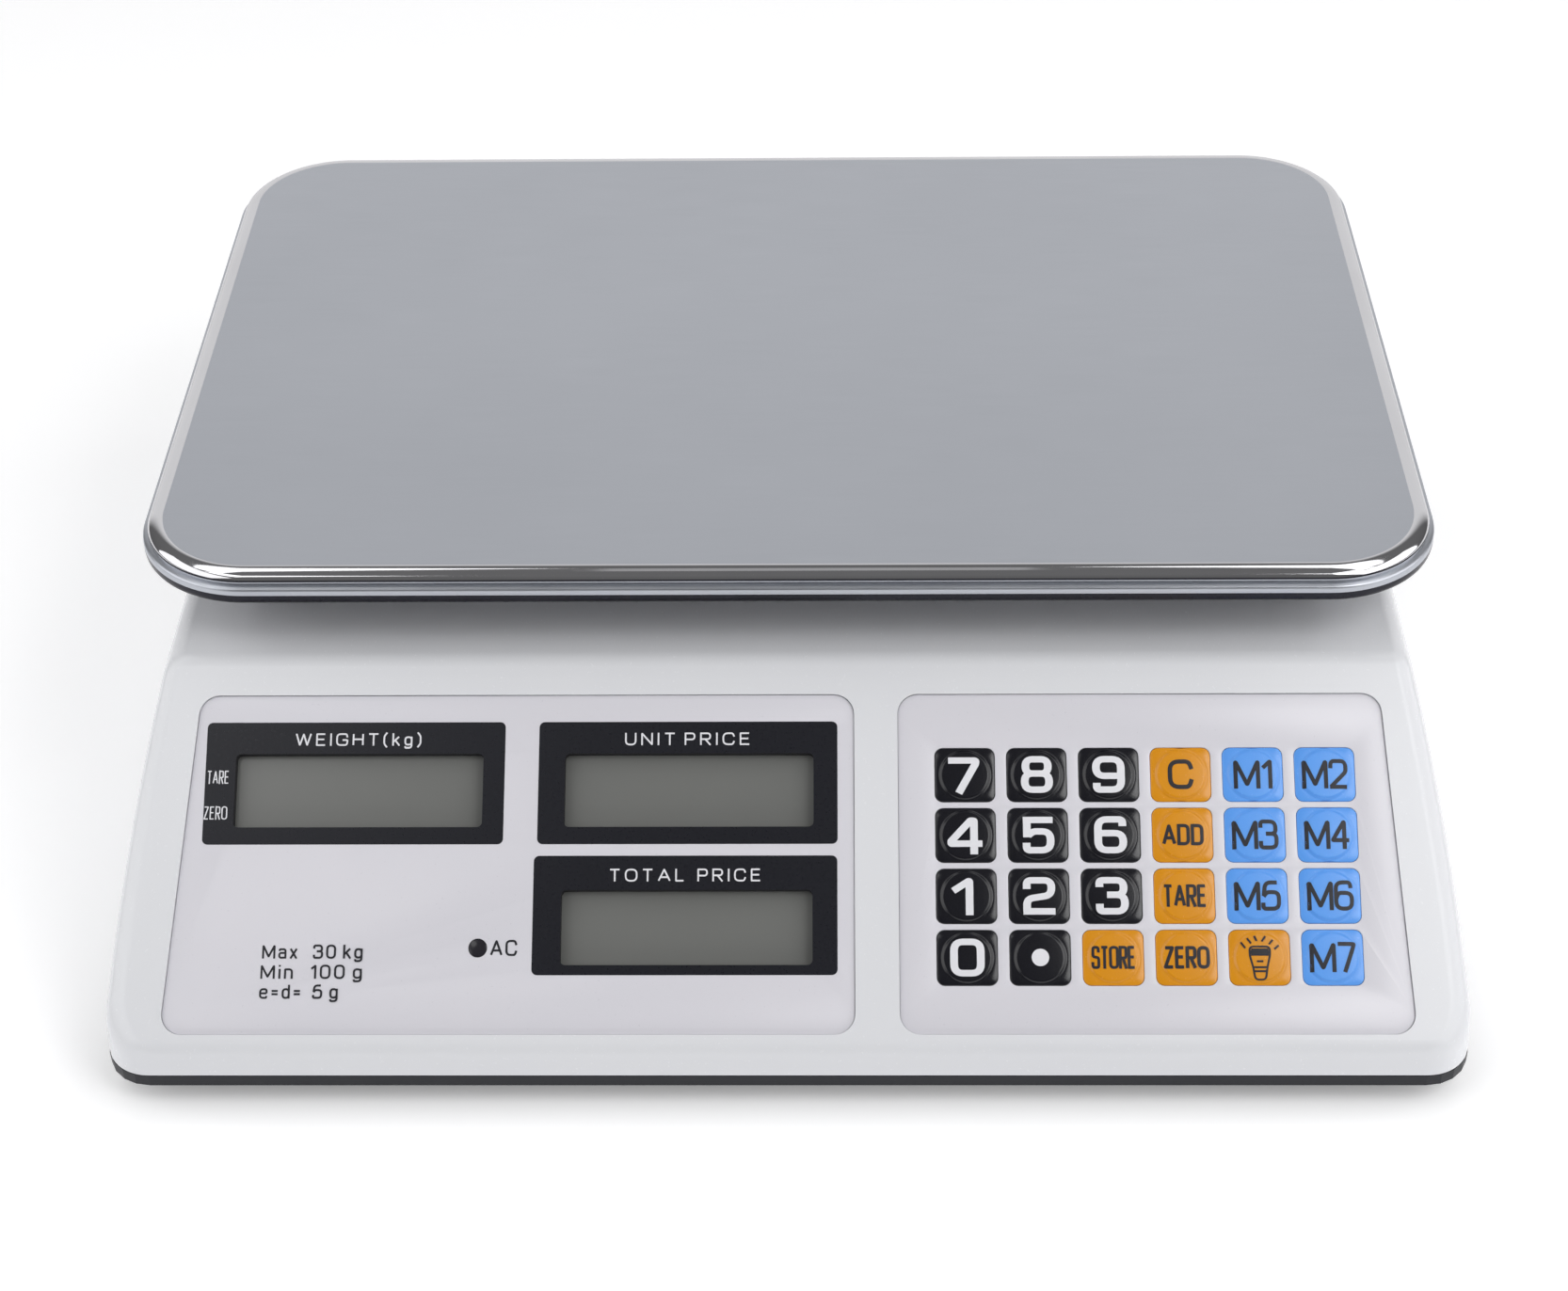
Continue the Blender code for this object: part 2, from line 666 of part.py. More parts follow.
def load_cell_bracket():
    """The foot plate and pillar that carry the load cell's fixed end."""
    floor = INNER_FLOOR
    bracket = plate(
        "load_cell_bracket",
        rounded_rectangle(76 * MM, 60 * MM, 5 * MM, (-HUB_X, PAN_CENTRE_Y), 3),
        floor,
        floor + 4 * MM,
        ALUMINIUM,
    )
    pillar = box(
        "pillar",
        (34 * MM, 34 * MM, CELL_BOTTOM - GAP - floor - 2 * MM),
        (-HUB_X, PAN_CENTRE_Y, (CELL_BOTTOM - GAP + floor + 2 * MM) / 2),
    )
    holes = cylinders(
        "plate_holes",
        2.6 * MM,
        0,
        floor + 9 * MM,
        [(-HUB_X + x * 31 * MM, PAN_CENTRE_Y + y * 25 * MM) for x in (-1, 1) for y in (-1, 1)],
        sides=12,
    )
    return cut(join(bracket, pillar), holes)


def platform_bolts(arm_top):
    """The two bolts that hold the pan support to the load cell."""
    head_low = arm_top - 6.3 * MM
    for i, place in enumerate(bolt_places(HUB_X)):
        name = f"platform_bolt_{i + 1}"
        bolt = cylinders(name, 4.9 * MM, head_low, head_low + 5 * MM, [place], ZINC, sides=16)
        shank_low = CELL_BOTTOM + 6 * MM
        shank = cylinders(name + "_shank", BOLT_RADIUS, shank_low, head_low + 2 * MM, [place], sides=16)
        socket_low = head_low + 2.4 * MM
        socket = cylinders(name + "_socket", 2.5 * MM, socket_low, head_low + 9 * MM, [place], sides=6)
        cut(join(bolt, shank), socket)


def pan_pads(arm_top):
    for name, (x, y) in zip(("rear_left", "front_left", "front_right", "rear_right"), pad_order()):
        cylinders(
            "pan_pad_" + name,
            PAD_RADIUS,
            arm_top + GAP,
            arm_top + GAP + PAD_HEIGHT,
            [(x, y + PAN_CENTRE_Y)],
            RUBBER,
            top_radius=PAD_RADIUS - 1.5 * MM,
        )


def pad_order():
    """Rear left, front left, front right, rear right."""
    return [PAD_PLACES[i] for i in (1, 0, 2, 3)]


def feet():
    for name, place in FOOT_PLACES.items():
        disc = (FOOT_RADIUS - 1 * MM, 0, FOOT_THICK)
        foot = cylinders("foot_" + name, *disc, [place], RUBBER, None, 28, FOOT_RADIUS)
        stud = cylinders(name + "_stud", STUD_RADIUS, FOOT_THICK - 1 * MM, STUD_TOP, [place], sides=16)
        join(foot, stud)


def key_mesh():
    """A key: a rounded block with a low round dome on it."""
    tile = rounded_rectangle(KEY_WIDTH, KEY_HEIGHT, KEY_CORNER, steps=2)
    block = plate("key_block", tile, KEY_BASE, KEY_FACE)
    sphere = (DOME_RADIUS**2 + DOME_RISE**2) / (2 * DOME_RISE)
    half_angle = math.asin(DOME_RADIUS / sphere)
    profile = []
    for i in range(4):
        angle = half_angle * i / 3
        lift = sphere * (math.cos(angle) - math.cos(half_angle))
        profile.append((sphere * math.sin(angle), KEY_FACE + lift))
    sunk = KEY_FACE - 0.5 * MM
    profile += [(DOME_RADIUS, sunk), (0, sunk)]
    mesh = bpy.data.meshes.new("key_dome")
    mesh.from_pydata([(x, 0, z) for x, z in profile], [(i, i + 1) for i in range(len(profile) - 1)], [])
    dome = add_object("key_dome", mesh)
    turn = dome.modifiers.new("turn", "SCREW")
    turn.steps = turn.render_steps = 18
    turn.use_merge_vertices = True
    turn.merge_threshold = 0.00001
    join(block, dome)
    mesh = bake(block)
    as_cutter(block)
    return mesh


def keys(panel):
    shape = key_mesh()
    for name, x, y in key_places():
        if name[-1].isdigit() and "_m" not in name or name == "key_point":
            finish = NUMBER_KEY
        else:
            finish = MEMORY_KEY if "_m" in name else FUNCTION_KEY
        key = add_object(name, shape.copy(), finish, panel)
        key.location = (x, y, 0)
        key.data.shade_smooth()
        key.data.set_sharp_from_angle(angle=math.radians(35))


def overlays(frames):
    """The printed films: display lens, keypad face with a window for each key, and rear lens."""
    bottom, top = -RECESS + GAP, -RECESS + GAP + OVERLAY
    panel = frames["panel"]
    plate("display_overlay", overlay_outline(*DISPLAY_EDGES), bottom, top, FILM, panel)
    windows = [
        rounded_rectangle(KEY_WIDTH + 2 * GAP, KEY_HEIGHT + 2 * GAP, KEY_CORNER + GAP, (x, y), 2)
        for _, x, y in key_places()
    ]
    plate("keypad_overlay", overlay_outline(*KEYPAD_EDGES), bottom, top, FILM, panel, windows)
    outline = rounded_rectangle(*REAR_OVERLAY, 5 * MM, (0, REAR_OVERLAY_Y))
    plate("rear_display_overlay", outline, bottom, top, FILM, frames["rear"])


def displays(frames):
    """The LCD glasses and the boards that carry them, parallel to the panel and to the rear wall."""
    middle = LCD_TOP - LCD_SIZE[2] / 2
    for name, (x, y) in LCD_PLACES.items():
        box(name, LCD_SIZE, (x, y, middle), GLASS, frames["panel"])
    for name, x in zip(("weight", "unit_price", "total_price"), rear_lcd_places()):
        box("rear_lcd_" + name, LCD_SIZE, (x, REAR_OVERLAY_Y, middle), GLASS, frames["rear"])
    board_middle = DISPLAY_BOARD_TOP - BOARD_THICK / 2
    board_size = (160 * MM, 70 * MM, BOARD_THICK)
    board = box("display_board", board_size, (-67 * MM, 48 * MM, board_middle), BOARD, frames["panel"])
    socket_size = (24 * MM, 6 * MM, 7 * MM)
    socket_at = (-110 * MM, 36 * MM, board_middle - 3.5 * MM)
    join(board, box("display_socket", socket_size, socket_at, None, frames["panel"]))
    rear = box(
        "rear_display_board",
        (246 * MM, 30 * MM, BOARD_THICK),
        (0, REAR_OVERLAY_Y, board_middle),
        BOARD,
        frames["rear"],
    )
    rear_socket_at = (0, REAR_OVERLAY_Y, board_middle - 3.5 * MM)
    join(rear, box("rear_socket", socket_size, rear_socket_at, None, frames["rear"]))
    led_low, led_high = DISPLAY_BOARD_TOP + GAP, -RECESS - 0.2 * MM
    cylinders("ac_indicator_led", LED_RADIUS, led_low, led_high, [LED_AT], LED, frames["panel"], 16)


def keypad_board(panel):
    """The switch board behind the keys, with a push switch under each one."""
    top = -7.7 * MM
    board = box(
        "keypad_board",
        (116 * MM, 68 * MM, BOARD_THICK),
        (KEYPAD_X, KEYPAD_Y, top - BOARD_THICK / 2),
        BOARD,
        panel,
    )
    places = [(x, y) for _, x, y in key_places()]
    body_places = [(x, y, top + 1.6 * MM) for x, y in places]
    bodies = boxes("switch_bodies", (6 * MM, 6 * MM, 4.2 * MM), body_places, panel)
    stem_top = KEY_BASE - KEY_TRAVEL - GAP
    stems = cylinders("switch_stems", 1.8 * MM, top + 3 * MM, stem_top, places, None, panel, 8)
    return join(board, bodies, stems)


def power_entry(side):
    """The mains inlet and the rocker switch in the right wall."""
    inlet = box("ac_inlet", (*INLET_FLANGE, FLANGE_THICK), (*INLET_AT, FLANGE_MIDDLE), DARK, side)
    body = box("inlet_body", (26.8 * MM, 19.8 * MM, 18 * MM), (*INLET_AT, -10 * MM), None, side)
    join(inlet, body)
    socket = box("inlet_socket", (23 * MM, 16 * MM, 22 * MM), (*INLET_AT, -6 * MM), None, side)
    cut(inlet, socket)
    switch = box("switch_housing", (*SWITCH_FLANGE, FLANGE_THICK), (*SWITCH_AT, FLANGE_MIDDLE), DARK, side)
    switch_body = box("switch_body", (19.4 * MM, 12.6 * MM, 14 * MM), (*SWITCH_AT, -8 * MM), None, side)
    join(switch, switch_body)
    well = box("rocker_well", (17.4 * MM, 10.2 * MM, 14 * MM), (*SWITCH_AT, -3.5 * MM), None, side)
    cut(switch, well)
    rocker(side)


def rocker(side):
    """The rocker: a wedge with two faces, tilted to its off side, turning on the well's middle."""
    half, flat, rise, depth = 7.6 * MM, 0.4 * MM, 1.2 * MM, 3.6 * MM
    outline = [
        (-half, -depth),
        (half, -depth),
        (half, rise),
        (flat, 0.2 * MM),
        (-flat, 0.2 * MM),
        (-half, rise),
    ]
    width = 9.4 * MM
    key = plate("switch_rocker", outline, -width / 2, width / 2, DARK, side)
    key.location = (*SWITCH_AT, ROCKER_AXIS)
    upright = Matrix.Rotation(math.pi / 2, 3, "X")
    key.rotation_euler = (Matrix.Rotation(ROCKER_TILT, 3, "Y") @ upright).to_euler()


def supply():
    """The rechargeable battery with its clamp, the mains transformer and the main board."""
    battery_size = Vector(BATTERY)
    battery_at = Vector((*BATTERY_AT, INNER_FLOOR + battery_size.z / 2))
    battery = box("battery", battery_size, battery_at, BATTERY_CASE)
    terminals = boxes(
        "terminals",
        (6 * MM, 1 * MM, 8 * MM),
        [battery_at + Vector((x * MM, -12 * MM, battery_size.z / 2 + 3 * MM)) for x in (-36, 36)],
    )
    join(battery, terminals)
    strap_at = battery_at + Vector((0, 4 * MM, 0))
    over = battery_size.z + 2 * (GAP + 1.5 * MM)
    strap = box(
        "battery_clamp",
        (18 * MM, battery_size.y + 10 * MM, battery_size.z + GAP + 1.5 * MM),
        strap_at + Vector((0, -4 * MM, (GAP + 1.5 * MM) / 2)),
        ZINC,
    )
    hollow = box(
        "clamp_hollow",
        (30 * MM, battery_size.y + 2 * GAP, over),
        strap_at + Vector((0, -4 * MM, GAP - over / 2 + battery_size.z / 2)),
    )
    cut(strap, hollow)
    transformer()
    main_board()


def transformer():
    middle = (*TRANSFORMER_AT, INNER_FLOOR + 17 * MM)
    core = box("transformer", (41 * MM, 20 * MM, 34 * MM), middle, LAMINATE)
    coil = box("coil", (27 * MM, 34 * MM, 26 * MM), middle)
    ears = box("ears", (54 * MM, 14 * MM, 2 * MM), (*TRANSFORMER_AT, INNER_FLOOR + 1.1 * MM))
    join(core, coil, ears)


def main_board():
    x, y = MAIN_BOARD_AT
    middle = BOARD_BOTTOM + MAIN_BOARD[2] / 2
    board = box("main_board", MAIN_BOARD, (x, y, middle), BOARD)
    top = BOARD_BOTTOM + MAIN_BOARD[2]
    chips = [
        box("processor", (16 * MM, 16 * MM, 3 * MM), (x - 20 * MM, y, top + 1 * MM)),
        box("converter", (10 * MM, 8 * MM, 3 * MM), (x + 6 * MM, y + 12 * MM, top + 1 * MM)),
        box("plug_row", (40 * MM, 6 * MM, 8 * MM), (x + 20 * MM, y - 20 * MM, top + 3.5 * MM)),
    ]
    cans = [(x + across * MM, y + 10 * MM) for across in (28, 40)]
    smoothing = cylinders("capacitors", 5 * MM, top - 0.5 * MM, top + 11 * MM, cans, sides=14)
    join(board, *chips, smoothing)


def build():
    frames = make_frames()
    upper_housing(frames)
    bottom_cover()
    overlays(frames)
    keys(frames["panel"])
    keypad_board(frames["panel"])
    displays(frames)
    weighing_pan()
    _, arm_top, _ = pan_support()
    pan_pads(arm_top)
    load_cell()
    load_cell_bracket()
    platform_bolts(arm_top)
    feet()
    power_entry(frames["side"])
    supply()


build()
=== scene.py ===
import json
import math

import bmesh
import bpy
from mathutils import Matrix, Vector

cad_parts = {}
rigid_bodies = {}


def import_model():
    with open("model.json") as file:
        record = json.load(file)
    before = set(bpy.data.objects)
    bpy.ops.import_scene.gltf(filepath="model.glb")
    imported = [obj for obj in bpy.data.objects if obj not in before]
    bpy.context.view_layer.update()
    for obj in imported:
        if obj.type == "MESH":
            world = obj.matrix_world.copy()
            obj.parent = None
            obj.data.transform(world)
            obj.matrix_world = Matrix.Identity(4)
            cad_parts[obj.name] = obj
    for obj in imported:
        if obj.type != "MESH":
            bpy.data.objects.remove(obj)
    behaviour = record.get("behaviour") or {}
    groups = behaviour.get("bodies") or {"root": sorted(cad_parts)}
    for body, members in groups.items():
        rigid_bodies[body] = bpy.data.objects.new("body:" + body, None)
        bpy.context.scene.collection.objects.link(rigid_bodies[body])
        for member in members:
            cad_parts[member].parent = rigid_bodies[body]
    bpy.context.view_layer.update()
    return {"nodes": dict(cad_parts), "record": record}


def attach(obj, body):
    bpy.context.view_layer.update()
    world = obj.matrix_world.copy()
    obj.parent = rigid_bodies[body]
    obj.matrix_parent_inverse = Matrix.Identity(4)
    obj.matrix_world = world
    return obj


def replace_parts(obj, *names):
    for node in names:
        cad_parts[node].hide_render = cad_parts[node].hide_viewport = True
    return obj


for item in list(bpy.data.objects):
    bpy.data.objects.remove(item, do_unlink=True)

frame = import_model()
mm = 0.001
caseBody = "case_body"

# sizes shared by several pieces, as the solids have them
case = {
    "width": 345 * mm,
    "depth": 310 * mm,
    "corner": 12 * mm,
    "underside": 7 * mm,
    "wallFoot": 10.6 * mm,  # lower edge of the white wall
    "lip": 19 * mm,
    "deck": 81 * mm,
    "panelSlope": math.radians(37.7),
    "rearSlope": math.radians(72),
    "wall": 3 * mm,
    "fillet": 6 * mm,
    "lean": (0.0419, 0.001717),  # how the side walls bend inwards with height, per mm and mm2
    "entryRise": 23 * mm,  # the middle of the power entry above the underside
}


def halfWidth(z):
    rise = (z - case["underside"]) / mm
    return case["width"] / 2 - (case["lean"][0] * rise + case["lean"][1] * rise * rise) * mm


# the three faces that carry pieces: the sloped panel, the rear wall and the right wall at the power entry
wallHeight = case["underside"] + case["entryRise"]
wallLean = math.atan(case["lean"][0] + 2 * case["lean"][1] * case["entryRise"] / mm)
panelFrame = Matrix.Translation((0, -case["depth"] / 2, case["lip"])) @ Matrix.Rotation(case["panelSlope"], 4, "X")
rearFrame = (
    Matrix.Translation((0, case["depth"] / 2, case["lip"]))
    @ Matrix.Rotation(math.pi, 4, "Z")
    @ Matrix.Rotation(case["rearSlope"], 4, "X")
)
sideFrame = (
    Matrix.Translation((halfWidth(wallHeight), 0, wallHeight))
    @ Matrix.Rotation(math.pi / 2, 4, "Z")
    @ Matrix.Rotation(math.pi / 2 - wallLean, 4, "X")
)


def toLinear(hexText):
    values = [int(hexText[i : i + 2], 16) / 255 for i in (0, 2, 4)]
    return (*(v / 12.92 if v <= 0.04045 else ((v + 0.055) / 1.055) ** 2.4 for v in values), 1)


def addNode(tree, kind, settings=None, links=None):
    node = tree.nodes.new(kind)
    for key, value in (settings or {}).items():
        if isinstance(key, int) or key in node.inputs:
            node.inputs[key].default_value = value
        else:
            setattr(node, key, value)
    for key, source in (links or {}).items():
        tree.links.new(source, node.inputs[key])
    return node


def makeMaterial(name, look):
    made = bpy.data.materials.new(name)
    made.use_nodes = True
    tree = made.node_tree
    shader = tree.nodes["Principled BSDF"]
    place = addNode(tree, "ShaderNodeTexCoord").outputs["Object"]
    # broad unevenness of the colour
    cloud = addNode(tree, "ShaderNodeTexNoise", {"Scale": 1 / look["cloud"], "Detail": 3}, {"Vector": place})
    tint = addNode(
        tree,
        "ShaderNodeMix",
        {"data_type": "RGBA", 6: toLinear(look["colour"]), 7: toLinear(look["shade"])},
        {0: cloud.outputs["Fac"]},
    )
    tree.links.new(tint.outputs[2], shader.inputs["Base Color"])
    # the surface's grain, stretched along one axis where it is brushed or rolled
    run = addNode(tree, "ShaderNodeMapping", {"Scale": look.get("stretch", (1, 1, 1))}, {"Vector": place})
    grain = addNode(
        tree,
        "ShaderNodeTexNoise",
        {"Scale": 1 / look["grain"], "Detail": 4, "Roughness": 0.6},
        {"Vector": run.outputs[0]},
    )
    low, high = look["roughness"]
    gloss = addNode(
        tree,
        "ShaderNodeMapRange",
        {"From Min": 0.3, "From Max": 0.7, "To Min": low, "To Max": high},
        {"Value": grain.outputs["Fac"]},
    )
    tree.links.new(gloss.outputs[0], shader.inputs["Roughness"])
    bump = addNode(
        tree,
        "ShaderNodeBump",
        {"Strength": 1, "Distance": look["depth"]},
        {"Height": grain.outputs["Fac"]},
    )
    tree.links.new(bump.outputs[0], shader.inputs["Normal"])
    shader.inputs["Metallic"].default_value = look.get("metallic", 0)
    if "ior" in look:
        shader.inputs["IOR"].default_value = look["ior"]
    return made


# cloud is the size of the colour's slow drift, grain the spacing of the surface's marks and depth their height.
# real marks here are 0.02 to 0.2 mm apart, too fine to show, so each grain is drawn coarser
looks = {
    # ABS, injection moulded in a fine-sparked tool: soft highlights, barely grained
    "absWhiteMoulded": {
        "colour": "E1E2E5", "shade": "DDDEE2", "cloud": 60 * mm, "grain": 0.9 * mm,
        "depth": 0.001 * mm, "roughness": (0.22, 0.28), "ior": 1.53,
    },
    # the same plastic, dark, from a coarser tool: dull and slightly grained
    "absCharcoalMoulded": {
        "colour": "17181F", "shade": "13141B", "cloud": 40 * mm, "grain": 1.0 * mm,
        "depth": 0.02 * mm, "roughness": (0.38, 0.5), "ior": 1.42,
    },
    # cold-rolled stainless sheet, satin: wide soft reflections, brushed faintly across the pan
    "stainlessSatinRolled": {
        "colour": "B7BAC1", "shade": "B0B3BA", "cloud": 90 * mm, "grain": 0.7 * mm,
        "stretch": (0.03, 1, 1), "depth": 0.0015 * mm, "roughness": (0.30, 0.38), "metallic": 1,
    },
    # the same sheet where the edge was formed and buffed: sharp bright and dark lines
    "stainlessBuffedEdge": {
        "colour": "CFCFD2", "shade": "C4C3C6", "cloud": 30 * mm, "grain": 1.5 * mm,
        "stretch": (0.3, 0.3, 1), "depth": 0.0008 * mm, "roughness": (0.05, 0.09), "metallic": 1,
    },
    # the underside of the same sheet, as it came from the mill: pale and blurred
    "stainlessBrightUnder": {
        "colour": "E2E2E4", "shade": "DADADD", "cloud": 60 * mm, "grain": 0.8 * mm,
        "depth": 0.004 * mm, "roughness": (0.34, 0.44), "metallic": 1,
    },
    # the folded hem under the rim and the bead's underside: painted shade, a dark grey standing in for the dark
    # reflection under the rim
    "stainlessHemDull": {
        "colour": "34343A", "shade": "2E2E33", "cloud": 30 * mm, "grain": 0.9 * mm,
        "stretch": (0.3, 0.3, 1), "depth": 0.004 * mm, "roughness": (0.24, 0.34), "metallic": 1,
    },
    # polyester film, velvet-coated and printed on its back: an even light lilac-grey with a faint sheen
    "polyesterFilmPrinted": {
        "colour": "DAD8DE", "shade": "D4D3DA", "cloud": 50 * mm, "grain": 0.8 * mm,
        "depth": 0.001 * mm, "roughness": (0.27, 0.34), "ior": 1.57,
    },
    # screen ink, printed and cured glossy: deep black surrounds
    "screenInkBlack": {
        "colour": "12131C", "shade": "0F1018", "cloud": 30 * mm, "grain": 0.8 * mm,
        "depth": 0.0008 * mm, "roughness": (0.26, 0.34), "ior": 1.45,
    },
    # screen ink, titanium white: opaque, slightly chalky letters
    "screenInkWhite": {
        "colour": "E6E6EA", "shade": "DDDDE2", "cloud": 10 * mm, "grain": 0.8 * mm,
        "depth": 0.002 * mm, "roughness": (0.40, 0.50), "ior": 1.5,
    },
    # screen ink, thinned black: dark grey letters with a dull face
    "screenInkCharcoal": {
        "colour": "181820", "shade": "13131B", "cloud": 10 * mm, "grain": 0.8 * mm,
        "depth": 0.002 * mm, "roughness": (0.35, 0.45), "ior": 1.5,
    },
    # closed-cell foam gasket, die cut: matt black walls round each window
    "foamBlack": {
        "colour": "141417", "shade": "1A1A1D", "cloud": 5 * mm, "grain": 0.8 * mm,
        "depth": 0.03 * mm, "roughness": (0.85, 0.95), "ior": 1.45,
    },
    # reflective LCD: polariser film laminated to glass, grey-green with no segment lit
    "polariserLaminated": {
        "colour": "747572", "shade": "6C6D6B", "cloud": 45 * mm, "grain": 1.2 * mm,
        "depth": 0.001 * mm, "roughness": (0.16, 0.24), "ior": 1.52,
    },
    # polyester caps, pigmented and embossed hot: the black ones glossy enough to show crescents
    "capBlackEmbossed": {
        "colour": "0A0A11", "shade": "0E0E17", "cloud": 8 * mm, "grain": 0.9 * mm,
        "depth": 0.0005 * mm, "roughness": (0.17, 0.22), "ior": 1.5,
    },
    # the orange ones a little softer in gloss
    "capOrangeEmbossed": {
        "colour": "DC920C", "shade": "D38A08", "cloud": 8 * mm, "grain": 0.9 * mm,
        "depth": 0.0008 * mm, "roughness": (0.22, 0.28), "ior": 1.5,
    },
    # the blue ones the same
    "capBlueEmbossed": {
        "colour": "60A1F2", "shade": "589AEA", "cloud": 8 * mm, "grain": 0.9 * mm,
        "depth": 0.0008 * mm, "roughness": (0.22, 0.28), "ior": 1.5,
    },
    # acrylic, smoked and moulded: a dark lens over the unlit lamp, with one small sharp highlight
    "acrylicSmoked": {
        "colour": "26242B", "shade": "201E24", "cloud": 4 * mm, "grain": 1 * mm,
        "depth": 0.001 * mm, "roughness": (0.12, 0.2), "ior": 1.49,
    },
    # nitrile rubber, compression moulded: dull, slightly dusty
    "nitrileMoulded": {
        "colour": "232325", "shade": "2D2D2F", "cloud": 9 * mm, "grain": 0.8 * mm,
        "depth": 0.03 * mm, "roughness": (0.65, 0.85), "ior": 1.52,
    },
    # aluminium bar, milled and clear anodised: fine lines along the cut, pale satin
    "aluminiumMilled": {
        "colour": "C9CBCE", "shade": "BEC0C4", "cloud": 25 * mm, "grain": 0.6 * mm,
        "stretch": (1, 0.05, 1), "depth": 0.006 * mm, "roughness": (0.28, 0.4), "metallic": 1,
    },
    # steel, cut and zinc plated: warm grey, slightly uneven in gloss
    "steelZincPlated": {
        "colour": "C2C2BA", "shade": "B3B5B4", "cloud": 6 * mm, "grain": 0.8 * mm,
        "depth": 0.006 * mm, "roughness": (0.25, 0.42), "metallic": 1,
    },
    # glass-epoxy laminate under green solder resist: deep green with a wet gloss
    "glassEpoxyMasked": {
        "colour": "1D5B33", "shade": "17502C", "cloud": 12 * mm, "grain": 1.0 * mm,
        "depth": 0.02 * mm, "roughness": (0.3, 0.42), "ior": 1.55,
    },
    # brass, stamped and tinned: pale, faintly yellow contacts
    "brassTinned": {
        "colour": "C9C7BF", "shade": "BDBAB0", "cloud": 5 * mm, "grain": 0.8 * mm,
        "depth": 0.004 * mm, "roughness": (0.2, 0.32), "metallic": 1,
    },
    # silicon-steel plates, stacked and varnished: dark, with the plates' edges as fine lines
    "laminationsVarnished": {
        "colour": "4B4C50", "shade": "3B3C40", "cloud": 8 * mm, "grain": 0.7 * mm,
        "stretch": (1, 0.02, 1), "depth": 0.08 * mm, "roughness": (0.35, 0.5), "metallic": 0.6,
    },
}
finishes = {name: makeMaterial(name, look) for name, look in looks.items()}
slotFinishes = {
    "white_abs": "absWhiteMoulded",
    "dark_abs": "absCharcoalMoulded",
    "stainless": "stainlessSatinRolled",
    "zinc": "steelZincPlated",
    "aluminium": "aluminiumMilled",
    "film": "polyesterFilmPrinted",
    "lcd": "polariserLaminated",
    "board": "glassEpoxyMasked",
    "rubber": "nitrileMoulded",
    "number_key": "capBlackEmbossed",
    "function_key": "capOrangeEmbossed",
    "memory_key": "capBlueEmbossed",
    "indicator": "acrylicSmoked",
    "battery": "absCharcoalMoulded",
    "transformer": "laminationsVarnished",
}
print("materials made:", len(finishes))


def roundEdges(item, width, segments=2):
    edge = item.modifiers.new("edge", "BEVEL")
    edge.width = width
    edge.segments = segments
    edge.limit_method = "ANGLE"
    edge.angle_limit = math.radians(40)
    edge.harden_normals = False
    flow = item.modifiers.new("flow", "WEIGHTED_NORMAL")
    flow.keep_sharp = True


edgeWidths = {
    "bottom_cover": 0.4 * mm,
    "ac_inlet": 0.3 * mm,
    "switch_housing": 0.3 * mm,
    "switch_rocker": 0.3 * mm,
    "pan_support": 0.4 * mm,
    "battery": 1.2 * mm,
    "load_cell": 0.3 * mm,
    "load_cell_bracket": 0.4 * mm,
}
nodeSlots = {entry["node"]: entry["material_slot"] for entry in frame["record"]["subparts"]}
for name, node in frame["nodes"].items():
    node.data.materials.clear()
    node.data.materials.append(finishes[slotFinishes[nodeSlots[name]]])
    node.data.shade_smooth()
    node.data.set_sharp_from_angle(angle=math.radians(32))
    if name in edgeWidths:
        roundEdges(node, edgeWidths[name])
print("solids finished:", len(frame["nodes"]))


def addPiece(name, mesh, finish, body, place=None, smooth=32):
    made = bpy.data.objects.new(name, mesh)
    bpy.context.scene.collection.objects.link(made)
    if not mesh.materials:
        mesh.materials.append(finishes[finish])
    if smooth:
        mesh.shade_smooth()
        mesh.set_sharp_from_angle(angle=math.radians(smooth))
    if place is not None:
        made.matrix_world = place
    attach(made, body)
    return made


def roundedOutline(corners, radius, steps=8):
    points = []
    count = len(corners)
    for i, corner in enumerate(corners):
        here = Vector(corner)
        back = (Vector(corners[i - 1]) - here).normalized()
        ahead = (Vector(corners[(i + 1) % count]) - here).normalized()
        half = back.angle(ahead) / 2
        centre = here + (back + ahead).normalized() * radius / math.sin(half)
        start = here + back * radius / math.tan(half) - centre
        sweep = math.pi - 2 * half
        points += [centre + Matrix.Rotation(sweep * step / steps, 2) @ start for step in range(steps + 1)]
    return points


def roundedBox(width, height, radius, centre=(0, 0), steps=8):
    x, y = centre
    w, h = width / 2, height / 2
    return roundedOutline([(x - w, y - h), (x + w, y - h), (x + w, y + h), (x - w, y + h)], radius, steps)


def meshOfCurve(curve):
    # the curve's filled mesh, welded, and the curve taken away again
    drawn = bpy.data.objects.new(curve.name, curve)
    bpy.context.scene.collection.objects.link(drawn)
    bpy.context.view_layer.update()
    graph = bpy.context.evaluated_depsgraph_get()
    mesh = bpy.data.meshes.new_from_object(drawn.evaluated_get(graph))
    bpy.data.objects.remove(drawn)
    bpy.data.curves.remove(curve)
    sketch = bmesh.new()
    sketch.from_mesh(mesh)
    bmesh.ops.remove_doubles(sketch, verts=sketch.verts, dist=1e-7)
    sketch.to_mesh(mesh)
    sketch.free()
    mesh.materials.clear()
    return mesh


